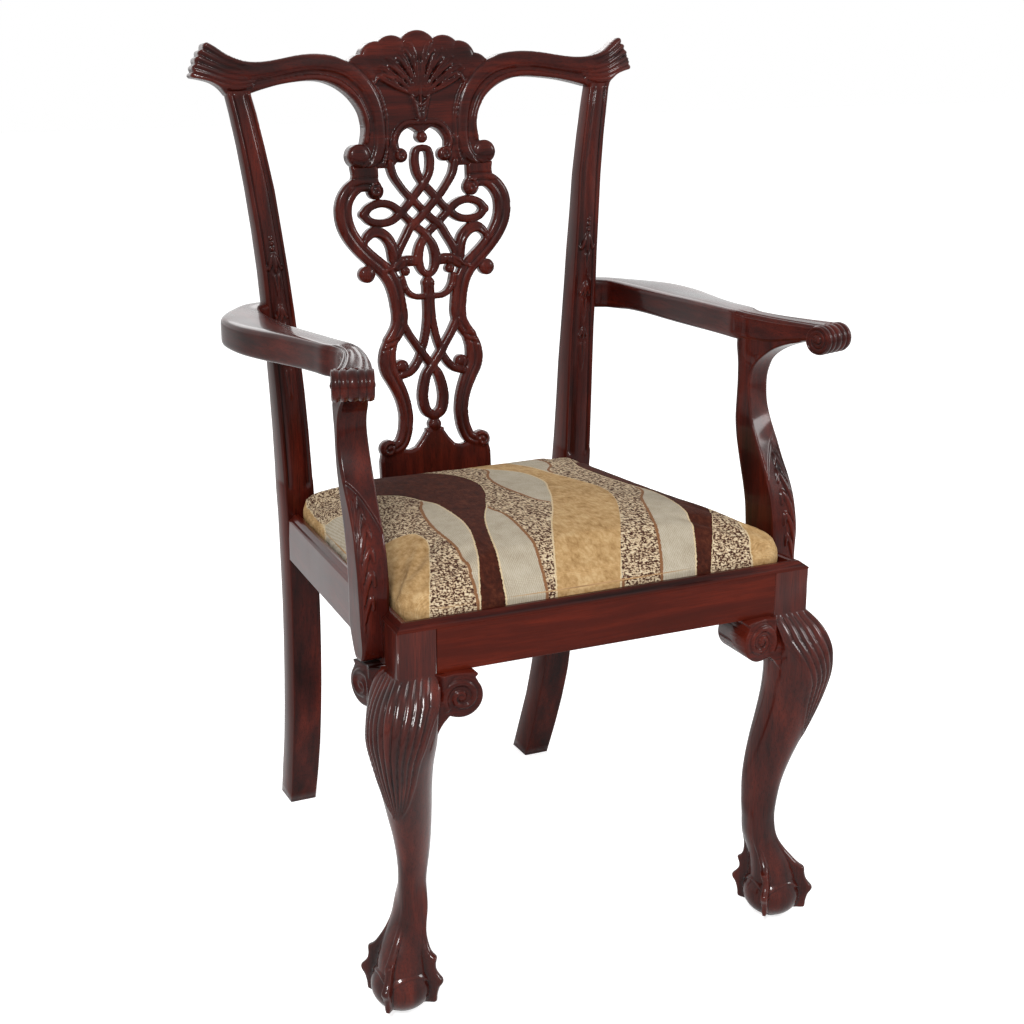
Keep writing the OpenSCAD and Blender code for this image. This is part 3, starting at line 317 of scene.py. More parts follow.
def wood(name, grain, dark, mid, red, rough=0.34, coat=1.0, figure=1.0, pores=0.1, polish=1.2):
    """grain is the axis of the fibres, figure the fineness of the streaks and polish the coat's refraction."""
    m, t = material_tree(name)
    place = object_place(t)
    bend = node(t, "ShaderNodeTexNoise", None, Vector=place, Scale=5.0, Detail=2.0).outputs["Color"]
    bent = node(t, "ShaderNodeMix", {"data_type": "VECTOR"}, i0=0.02, i4=place, i5=bend).outputs[1]
    streak = noise(t, stretched(t, bent, grained(STREAK, grain, figure)), 1.0, 7.0, Roughness=0.62)
    cloud = noise(t, place, 7.0, 3.0)
    colour = ramp(t, blend(t, streak, 0.75, cloud, 0.25), [(0.36, dark), (0.50, mid), (0.64, red)])
    pore = noise(t, stretched(t, place, grained(PORE, grain)), 1.0, 3.0, Roughness=0.7)
    pored = spread(t, pore, 0.36, 0.5, 0.55, 1.0)
    colour = mix_colour(t, 1.0, colour, pored, "MULTIPLY")
    deep = node(t, "ShaderNodeAttribute", {"attribute_name": "hollow"}).outputs["Fac"]
    # Painted shade: grooves marked by the hollow layer are darkened toward a deep brown.
    painted_shade = [0.35 * c for c in dark] + [1]
    # Painted light: rounded edges marked by the hollow layer are made a brighter red.
    painted_edge_light = [red[0] * 1.25, red[1] * 1.4, red[2] * 1.4, 1]
    colour = mix_colour(t, spread(t, deep, 0.04, 0.55, 0.0, 0.82), colour, painted_shade)
    colour = mix_colour(t, spread(t, deep, -0.12, -0.7, 0.0, 0.35), colour, painted_edge_light)
    surface(t, colour, spread(t, cloud, 0.3, 0.7, rough - 0.05, rough + 0.08), pored, pores, 0.0004,
            Specular_IOR_Level=0.08, Coat_Weight=coat, Coat_Roughness=0.09, Coat_IOR=polish, IOR=1.5)
    return m


DARK, MID, RED = (0.014, 0.0017, 0.0010), (0.042, 0.0042, 0.0022), (0.092, 0.0098, 0.0042)
mahogany_up = wood("mahogany_upright", "Z", DARK, MID, RED)
mahogany_leg = wood("mahogany_leg", "Z", DARK, (0.048, 0.0055, 0.0030), (0.098, 0.0115, 0.0052), polish=1.3)
mahogany_across = wood("mahogany_across", "X", DARK, MID, RED)
mahogany_back = wood("mahogany_front_to_back", "Y", DARK, MID, RED)
mahogany_rail = wood("mahogany_striped_rail", "X", (0.009, 0.0009, 0.0004), (0.030, 0.0024, 0.0010),
                     (0.105, 0.0100, 0.0030), figure=1.3, polish=1.13)
beech = wood("planed_beech", "X", (0.36, 0.20, 0.09), (0.48, 0.29, 0.14), (0.60, 0.40, 0.21), rough=0.55,
             coat=0.05, pores=0.25, polish=1.33)
print("woods made")


# %% [markdown]
# The back posts are square in section, but their fronts are moulded: a fine bead on the inner corner, a cove,
# a broad round field and a second bead on the outer corner. A post is made as rings of points up its height.
# Each ring has many points across its front, where the moulding pushes them back by its own depth.
# %% Back posts
POST_ROWS = [[0, 198.4, 162.6, 556, 600], [50, 201.5, 163.5, 537, 580], [100, 204, 165, 520, 561],
             [150, 206, 167, 506, 548], [200, 207.3, 167.7, 498, 539], [250, 208.5, 169, 491.3, 532],
             [300, 209.8, 170.6, 485.6, 526.3], [350, 211.5, 172.8, 480.5, 522], [400, 214, 176, 475, 516],
             [434, 215.3, 177, 472, 513.5], [470, 217.2, 179, 470.6, 512], [500, 218.2, 180.2, 470.7, 510],
             [550, 220, 182.3, 472.4, 508.5], [600, 222, 185, 474.7, 509], [650, 224.6, 188.6, 477.8, 509],
             [700, 227.9, 192.7, 480.3, 510.3], [750, 230.5, 197.7, 483.4, 514], [800, 235, 203, 488.3, 516.5],
             [850, 240.4, 208, 495, 520], [900, 246.7, 216.5, 500.3, 525.4], [940, 253.3, 223.9, 505.4, 528.8],
             [966, 258.2, 229.8, 509.4, 532.2]]
FIELD_LOW, FIELD_HIGH = 474.0, 960.0
HUSKS_LOW, HUSKS_HIGH = 585.0, 800.0


def post_moulding(s, w, z):
    """Depth of the moulding at s mm from the inner corner of a front w mm wide."""
    centre = (w + 1.0) / 2
    bead_in = 1.5 * dome((s - 2.0) / 2.0) + 1.2 * (s < 4)
    field = 3.0 * dome((s - centre - 0.5) / ((w - 15.0) / 2))
    bead_out = 2.2 * dome((s - (w - 3.0)) / 2.9) + 0.5 * (s > w - 6)
    depth = 3.0 - np.max([bead_in, field, bead_out], axis=0)
    stop = FIELD_LOW + 10 * round_off((s - centre) / (w / 2))
    return depth * ease((z - stop) / 5.0) * ease((FIELD_HIGH + 6 - z) / 6.0)


def post_husks(s, w, z):
    """Height of the small carved husks that hang on the front of a post."""
    mid = s - (w / 2 + 0.5)

    def blob(x, zc, rx, rz, high, turn=0.0):
        dx, dz, ca, sa = mid - x, z - zc, math.cos(turn), math.sin(turn)
        return high * dome(np.hypot((dx * ca + dz * sa) / rx, (dz * ca - dx * sa) / rz))

    parts = [blob(0, zc, r, r, 2.6) for zc, r in ((792, 2.3), (786, 2.6), (779.5, 3.0))]
    for top, size in ((776, 1.0), (712, 0.8), (652, 0.62)):
        parts.append(blob(0, top - 13 * size, 3.6 * size, 13 * size, 3.0))
        for side in (-1, 1):
            parts.append(blob(side * 4.6 * size, top - 12 * size, 2.6 * size, 12 * size, 2.6, side * 0.32))
            parts.append(blob(side * 8.4 * size, top - 20 * size, 2.6 * size, 3.4 * size, 2.4))
    for top, low in ((750, 716), (690, 655), (632, 590)):
        inside = ease((z - low) / 14) * ease((top - z) / 4)
        apart = 3.2 * (z - low) / (top - low)
        parts += [1.3 * inside * dome((mid - side * apart) / 1.5) for side in (-1, 1)]
    return np.max(parts, axis=0)


def post_verts():
    zs = levels((0, 466, 14.0), (466, 590, 3.0), (590, 800, 1.3), (800, 964, 5.0), (966, 967, 1.0))
    across, r, turn = 46, 2.2, np.linspace(0, math.pi / 2, 5)
    verts = []
    for z in zs:
        xo, xi, yf, yb = along(POST_ROWS, z)
        w = xo - xi
        s = np.linspace(0, w, across)
        deep = post_moulding(s, w, z) - (post_husks(s, w, z) if HUSKS_LOW < z < HUSKS_HIGH else 0.0)
        edge = 0.8 * (1 - ease(np.minimum(s, w - s) / 1.2))
        verts += zip(xi + s, yf + deep + edge, np.full(across, z))
        verts += [(xo - r + r * math.cos(a), yb - r + r * math.sin(a), z) for a in turn]
        verts += [(xi + r - r * math.sin(a), yb - r + r * math.cos(a), z) for a in turn]
    return verts, tube_faces(len(zs), across + 2 * len(turn))


both("rear_post_moulded", *post_verts(), mahogany_up, "rear_post")


# %% [markdown]
# An arm leaves the post, bows outwards, and comes forward to a hand grip that rolls over into a small scroll.
# Its section is a soft rectangle, so each ring is a rounded rectangle between an outer and an inner edge. Near
# the hand the top is cut into five reeds, which run on round the scroll.
# %% Arms and their scrolls
ARM_ROWS = [[226, 511, 226, 481, 713, 38.1], [252, 502, 238, 470, 713, 37.4], [274, 478, 243.5, 452, 713, 36.5],
            [292, 450, 246, 428, 713.7, 35], [304.5, 420, 247, 398, 714.7, 34.6], [309, 388, 247.4, 368, 715.5, 34.6],
            [306, 345, 247, 335, 716.9, 35.2], [296, 300, 245.5, 300, 718.9, 35.6], [285.5, 260, 243, 260, 721, 35.4],
            [277, 220, 240, 220, 723.1, 35], [272, 185, 237.2, 182, 724.9, 34.8],
            [269.5, 162, 235.2, 160, 725.9, 34.8], [264.5, 146, 234.6, 144, 726.4, 34.6],
            [262.4, 133, 235.2, 129, 726.8, 34], [264.4, 117, 238.4, 110, 727, 33], [271, 96, 243, 87, 727, 31],
            [280.4, 74, 249.3, 64, 727, 26], [290.5, 53, 256.2, 42, 727, 21.5], [299, 38, 262, 25.5, 727, 18]]
REED_EDGES = np.array([-1.0, -0.63, -0.25, 0.25, 0.63, 1.0])
HAND = (282.4, 29.0, math.radians(17))


def reed_depth(a):
    """Depth between the reeds, at a from -1 to 1 across the arm. The middle reed is the widest."""
    k = np.clip(np.searchsorted(REED_EDGES, np.asarray(a, float), side="right") - 1, 0, 4)
    t = (a - REED_EDGES[k]) / (REED_EDGES[k + 1] - REED_EDGES[k])
    return 1.8 * (2 * np.abs(t - 0.5)) ** 2.2 * (np.abs(a) < 0.985)


def rounded_section(n, power):
    a = np.linspace(0, 2 * math.pi, n, endpoint=False)
    c, s = np.cos(a), np.sin(a)
    return np.sign(c) * np.abs(c) ** (2 / power), np.sign(s) * np.abs(s) ** (2 / power)


def arm_verts():
    around, rings = 120, []
    for ox, oy, ix, iy, top, thick in smooth(ARM_ROWS, 9):
        y = (oy + iy) / 2
        px, pz = rounded_section(around, 7.5 - 2.5 * ease((165 - y) / 40))
        crown = 1.3 * ease((y - 150) / 60) * (bump(px) - 1) * (pz > 0)
        cut = np.where(pz > 0.3, reed_depth(np.clip(px * 1.02, -1, 1)) * ease((151 - y) / 8), 0)
        rings.append(np.column_stack([(ox + ix) / 2 + (ox - ix) / 2 * px, y + (oy - iy) / 2 * px,
                                      top - thick / 2 + thick / 2 * pz - cut + crown]))
    return np.vstack(rings), tube_faces(len(rings), around)


def scroll_verts():
    """The roll under the front of an arm: reeded round its rim, with a spiral cut in each end."""
    half, middle, r0, turns, across = 20.6, 710.3, 16.7, 96, 61
    q = 2 * math.pi * np.arange(turns) / turns

    def ring(x, r):
        return np.column_stack([x + 0 * q, r * np.cos(q), middle + r * np.sin(q)])

    rings = [ring(half * a, r0 - reed_depth(a) - 1.0 * (abs(a) > 0.985)) for a in np.linspace(-1, 1, across)]
    faces = tube_faces(across, turns, closed=False)
    for first, out in ((0, -1), ((across - 1) * turns, 1)):
        last = range(first, first + turns)
        for r in np.linspace(15.4, 1.2, 22):
            groove = 1.5 * np.maximum(0, 1 - np.abs((r / 5.2 + q / (2 * math.pi)) % 1.0 - 0.5) / 0.22)
            boss = 1.6 * max(0, 1 - (r / 4.2) ** 2)
            this = range(len(rings) * turns, (len(rings) + 1) * turns)
            rings.append(ring(out * (half + 0.7 - groove * min(1, r / 4) + boss), r))
            for j in range(turns):
                k = (j + 1) % turns
                faces.append((last[j], last[k], this[k], this[j])[::out])
            last = this
        faces.append(tuple(last)[::out])
    hx, hy, turn = HAND
    x, y, z = np.vstack(rings).T
    return np.column_stack([hx + x * math.cos(turn) - y * math.sin(turn),
                            hy + x * math.sin(turn) + y * math.cos(turn), z]), faces


arm, arm_faces = arm_verts()
scroll, scroll_faces = scroll_verts()
both("arm_shaped", np.vstack([arm, scroll]), arm_faces + [tuple(v + len(arm) for v in f) for f in scroll_faces],
     mahogany_back, "arm")


# %% [markdown]
# An arm support stands on the outer face of the side rail, rises in a curve and spreads out under the arm. Its
# front is carved with one long leaf, and an arched edge divides the leaf from the plain neck above.
# %% Arm supports
SUPPORT_ROWS = [[405, 270.4, 58, 240.3, 58, 76, 92], [410, 270.2, 54, 240.2, 53.5, 81, 106],
                [420, 270, 52.6, 240.2, 51.8, 87, 114], [440, 270.4, 55, 239.6, 52.5, 94, 115],
                [460, 271, 55.8, 238.9, 53, 92, 115], [480, 271.8, 56, 238.2, 54, 90, 116],
                [500, 271.6, 59, 237.9, 56.6, 92, 118], [520, 271.2, 64.8, 237.7, 61.6, 96, 123],
                [540, 269.8, 73.7, 237, 71, 105, 129], [560, 268.8, 87, 236.4, 83, 114, 135],
                [580, 268.6, 100, 235.5, 95, 121, 139.5], [600, 268.1, 113.8, 234.8, 106, 128, 141.5],
                [620, 267.5, 122, 235.4, 112, 132.5, 142], [640, 266.8, 123.6, 236, 116, 136, 142],
                [652, 266.6, 122.4, 236.2, 115.6, 139, 142.5], [662, 266.4, 118.6, 236.3, 112.4, 141, 143],
                [671, 266.2, 112.8, 236.4, 106.8, 142, 144], [679, 266, 105.4, 236.5, 99.6, 143, 145],
                [686, 265.8, 96.6, 236.6, 91, 144, 146], [692, 265.6, 86.4, 236.6, 81.2, 144, 146],
                [697, 265.4, 75, 236.6, 70.4, 144, 146], [701, 265.2, 63.4, 236.6, 59.4, 144, 146],
                [704, 265, 52, 236.6, 48.6, 144, 146], [709, 265, 45, 236.6, 42, 144, 146]]
LEAF_STRETCH = 1.3
# points (across, height) of a stroke of the leaf, its width and its height over the ground
LEAF_STROKES = (
    ([(4.5, 432), (4.0, 470), (4.5, 505), (6.0, 533)], 1.9, 1.7),
    ([(1.4, 436), (1.2, 470), (1.4, 505), (2.4, 536)], 1.1, 1.2),
    ([(5, 440), (9, 452), (14, 458), (15.5, 450)], 2.9, 2.3),
    ([(5, 455), (9, 470), (15.5, 478), (17.5, 469)], 3.1, 2.6),
    ([(5, 473), (9, 488), (16, 497), (18.5, 488)], 3.1, 2.6),
    ([(5, 490), (9, 505), (15, 514), (17.5, 506)], 3.0, 2.4),
    ([(5.5, 507), (8, 519), (12.5, 527), (14.5, 520)], 2.6, 2.1),
    ([(6, 521), (8, 531), (10.5, 537)], 2.1, 1.6))


def arm_edges(y):
    """The outer and inner edge of the arm at a place y, a little inside its sides."""
    rows = np.array(ARM_ROWS)[::-1]
    return np.interp(y, rows[:, 1], rows[:, 0]) - 1.0, np.interp(y, rows[:, 3], rows[:, 2]) + 1.0


def flared(x, y, flare, edge):
    """Draws an edge of the support out to the arm's own edge. edge 0 is the outer one, 1 the inner one."""
    return x + (arm_edges(y)[edge] - x) * flare


def stem(points, s, z, width, height):
    """A round carved line through the points, as height over the ground at (s, z)."""
    p = smooth(points, 6)
    best = np.full(np.shape(s), 99.0)
    where = np.zeros(np.shape(s))
    for i in range(len(p) - 1):
        ax, az, bx, bz = p[i][0], p[i][1], p[i + 1][0], p[i + 1][1]
        l2 = (bx - ax) ** 2 + (bz - az) ** 2 + 1e-9
        t = np.clip(((s - ax) * (bx - ax) + (z - az) * (bz - az)) / l2, 0, 1)
        d = np.hypot(s - ax - t * (bx - ax), z - az - t * (bz - az))
        where = np.where(d < best, (i + t) / (len(p) - 1), where)
        best = np.minimum(best, d)
    w = width * (0.35 + 0.65 * np.sin(math.pi * np.clip(where * 0.85 + 0.12, 0, 1)))
    return height * dome(best / w)


def support_leaf(s, z):
    """Height of the leaf and of the roll over it. s runs from 0 at the outer corner to 1 at the inner one."""
    z = 432 + (z - 440) / LEAF_STRETCH
    high = np.max([stem(points, s * 33.0, z, w, h) for points, w, h in LEAF_STROKES], axis=0)
    arc = 545 - 40 * s ** 1.6
    roll = 2.2 * ease((z - arc) / 3.0) * ease((590 - z) / 40)
    return high + roll * ease(np.minimum(s, 1 - s) / 0.05)


def support_verts():
    zs = levels((405, 430, 2.5), (430, 600, 1.2), (600, 650, 3.0), (650, 710, 1.5))
    fine = smooth(SUPPORT_ROWS, 8)
    s = np.linspace(0, 1, 40)
    verts = []
    for z in zs:
        ox, ofy, ix, ify, ory, iry = along(fine, z)
        flare = ease((z - 664) / 22)
        xo, xi = flared(ox, ofy, flare, 0), flared(ix, ify, flare, 1)
        back_o, back_i = flared(ox, ory, flare, 0), flared(ix, iry, flare, 1)
        edge = 1.2 * (1 - ease(np.minimum(s, 1 - s) * abs(ox - ix) / 2.6))
        inner, outer = np.linspace(ify + 2.5, iry - 2.5, 12), np.linspace(ory - 2.5, ofy + 2.5, 12)
        ring = [*zip(xo + (xi - xo) * s, ofy + (ify - ofy) * s + edge - support_leaf(s, z)),
                *zip(flared(ix, inner, flare, 1), inner),
                (back_i + 0.8, iry - 0.8), (back_i + 2.5, iry), ((back_i + back_o) / 2, (iry + ory) / 2),
                (back_o - 2.5, ory), (back_o - 0.8, ory - 0.8),
                *zip(flared(ox, outer, flare, 0), outer)]
        verts += [(x, y, z) for x, y in ring]
    return verts, tube_faces(len(zs), len(ring))


both("arm_support_carved", *support_verts(), mahogany_up, "arm_support")


# %% [markdown]
# The front legs are cabriole legs. The knee carries narrow flutes that gather to a point on its corner, the
# shin thins to an ankle, and the foot is a claw that grips a ball. Seen from above, every level of the leg is
# one closed line round its middle, so the leg is made as rings whose radius depends on height and direction.
# The claw is the larger of three radii: the ball, the web of skin over it, and the four talons.
# %% Cabriole legs with claw and ball
# height, centre across and back, and the radius toward the corner and across it
LEG_ROWS = [[0, 242.3, 27.5, 20, 20], [45, 242.3, 27.5, 20, 20], [60, 241.8, 28.2, 20, 20], [74, 239.2, 31, 20, 20],
            [88, 234.4, 35.2, 20.5, 20.5], [100, 229.9, 38, 20.5, 20.2], [112, 227, 39, 20.5, 19.6],
            [130, 225.2, 38.9, 20.4, 17.8], [150, 224.4, 37.8, 21.3, 15.8], [180, 224.4, 34.1, 23.8, 16.8],
            [210, 227.4, 28.6, 26.9, 19.4], [240, 232.4, 22.4, 30.1, 22.8], [270, 237.9, 15.6, 32.9, 26],
            [300, 243, 9.8, 35.7, 30.6], [330, 246, 5.7, 38.4, 36.6], [350, 245.2, 6.4, 38.6, 37.4],
            [366, 243, 9.2, 36.8, 35.4], [385, 237.5, 15, 32.3, 31.4], [402, 229.6, 23.1, 25.8, 26.2]]
BALL, SQUASH = (242.3, 27.5, 32.0, 34.6), 0.89
TALON = [[0, 8], [9, 18], [12.5, 26], [14, 35.5], [15.5, 40.6], [18, 41.6], [23, 42], [28, 43], [34, 45], [39, 48.2],
         [42, 49.2], [45, 48.4], [49, 44.6], [54, 41.2], [60, 40.2], [65, 40.8], [68.5, 40.6], [71, 36.5], [76, 31.8],
         [88, 25.2], [100, 21.8], [110, 20.6], [120, 20], [135, 19.4], [150, 18.6]]
TALON_HALF = [[6, 0.8], [14, 1.6], [18, 2.4], [26, 3], [32, 3.4], [42, 4], [52, 3.6], [60, 3.6], [68, 4.4], [88, 4.6],
              [120, 4.4], [150, 4.4]]
WEB = [[36, 31.5], [42, 30.6], [50, 27.8], [58, 26.4], [66, 25.2], [76, 23.4], [88, 20.8], [100, 19], [120, 17.6],
       [150, 16.2]]
KNEE_HALF = [[232, 0.01], [250, 12], [264, 26], [292, 44], [322, 54], [350, 72], [375, 92]]  # degrees of flutes
BLOCK_IN, BLOCK_OUT, BLOCK_OUT_BACK, BLOCK_DEEP = 207.6, 251.9, 248.3, 44.5
leg_fine, talon_fine, half_fine, web_fine = smooth(LEG_ROWS, 6), smooth(TALON, 4), smooth(TALON_HALF, 4), smooth(WEB, 6)


def soft_max(a, b, k):
    h = np.clip(0.5 + 0.5 * (a - b) / k, 0, 1)
    return b + (a - b) * h + k * h * (1 - h)


def foot_radius(z, q, cx, cy):
    """Radius of the foot at height z in the directions q, from the leg's middle (cx, cy)."""
    bx, by, bz, br = BALL
    level = br ** 2 - ((z - bz) / SQUASH) ** 2
    dx, dy = bx - cx, by - cy
    near = dx * np.cos(q) + dy * np.sin(q)
    aside = dx * dx + dy * dy - near ** 2
    ball = np.maximum(near + np.sqrt(np.maximum(level - aside, 0)) if level > 0 else np.full_like(q, 2.0), 9.0)
    diag = np.abs(q % (math.pi / 2) - math.pi / 4)
    mid = 1 - diag / (math.pi / 4)
    web, t, half = (along(rows, z)[0] for rows in (web_fine, talon_fine, half_fine))
    over = ease((z - 49.0 + 11.0 * mid ** 2) / 2.4)
    skin = np.maximum(web + 2.6 * mid ** 2, ball + 1.7)
    away = t * np.sin(np.minimum(diag, 1.2))
    talon = t - 0.085 * away ** 2 - 7.0 * np.maximum(away - half, 0)
    return soft_max(talon, ball * (1 - over) + skin * over, 0.9)


def knee_shape(z, q, r):
    """The square corner, the flutes and the raised outline of the knee."""
    corner = (q + math.pi / 4 + math.pi) % (2 * math.pi) - math.pi
    square = 1 / np.maximum(np.abs(np.cos(q)), np.abs(np.sin(q)))
    sharp = ease((z - 330) / 70)
    body = 1 + 0.05 * ease((z - 200) / 90) * (1 - sharp) * np.exp(-(corner / 0.28) ** 2)
    squared = (1 - sharp) + sharp * np.minimum(square, 1.36) * 0.905
    f = np.abs(corner) / math.radians(along(KNEE_HALF, z)[0])
    inside = ease((1.0 - f) / 0.05) * ease((z - 236) / 14)
    flute = np.abs(np.cos(math.pi * 5.5 * np.clip(f, 0, 1))) ** 0.6
    lip = 1.1 * np.exp(-((f - 1.0) / 0.035) ** 2) * ease((z - 240) / 10)
    fade = ease((401.4 - z) / 3)
    deep = 1.5 + 1.6 * ease((z - 236) / 60)
    return r * body * squared + fade * (inside * (0.9 - deep * (1 - flute)) + lip)


def leg_verts():
    zs = levels((0, 100, 0.9), (100, 150, 2.0), (150, 228, 4.0), (228, 402, 1.6), (402, 403, 1.0))
    q = np.linspace(0, 2 * math.pi, 240, endpoint=False)
    q = q + 0.11 * np.sin(4 * q)
    cos, sin = np.cos(q), np.sin(q)
    rings = []
    for z in zs:
        cx, cy, long, wide = along(leg_fine, z)
        r = 1 / np.hypot(np.cos(q + math.pi / 4) / long, np.sin(q + math.pi / 4) / wide)
        if z < 150:
            mix = ease((z - 112) / 36)
            r = foot_radius(z, q, cx, cy) * (1 - mix) + r * mix
        if 100 < z < 200:
            r = r - 1.1 * np.abs(np.cos(2 * q)) ** 1.5 * ease((z - 110) / 20) * ease((195 - z) / 50)
        if z > 198:
            r = knee_shape(z, q, r)
        rings.append(np.column_stack([cx + r * cos, cy + r * sin, np.full(len(q), z)]))
    # The square block over the knee stands between two more rings, with a little off its corners.
    k = 1 / np.maximum(np.abs(cos), np.abs(sin))
    u, v = cos * k, sin * k
    y = BLOCK_DEEP / 2 + 22.2 * v
    out = BLOCK_OUT + (BLOCK_OUT_BACK - BLOCK_OUT) * (y / BLOCK_DEEP)
    x = (BLOCK_IN + out) / 2 + (out - BLOCK_IN) / 2 * u
    edge = 1.3 * 0.35 * np.maximum(0, np.abs(u) + np.abs(v) - 1.93) / 0.07
    for height in (402.6 + 0 * y, 452.0 - FALL * y):
        rings.append(np.column_stack([x - np.copysign(edge, u), y - np.copysign(edge, v), height]))
    return np.vstack(rings), tube_faces(len(rings), len(q))


both("front_leg_carved", *leg_verts(), mahogany_leg, "front_leg")


# %% [markdown]
# The splat, the crest rail and the knee scrolls are sawn from boards and then carved from the front. A board
# like that is a height over a flat grid: how far each point lies inside the sawn outline, and how deep the
# carver went there. Strokes along smooth lines add straps, rolls, beads and grooves. The outline is then cut
# out of the grid exactly where the inside distance is zero, which keeps its edge clean.
# %% A carver's board
# Which corners and cut edges of a grid square make up its faces, for each of the ways it can lie on the outline.
CASES = {1: [[0, 4, 7]], 2: [[1, 5, 4]], 3: [[0, 1, 5, 7]], 4: [[2, 6, 5]], 5: [[0, 4, 7], [2, 6, 5]],
         6: [[1, 2, 6, 4]], 7: [[0, 1, 2, 6, 7]], 8: [[3, 7, 6]], 9: [[0, 4, 6, 3]], 10: [[1, 5, 4], [3, 7, 6]],
         11: [[0, 1, 5, 6, 3]], 12: [[2, 3, 7, 5]], 13: [[0, 4, 5, 2, 3]], 14: [[1, 2, 3, 7, 4]], 15: [[0, 1, 2, 3]]}
NOTHING = -60.0  # the height where a board has no wood yet


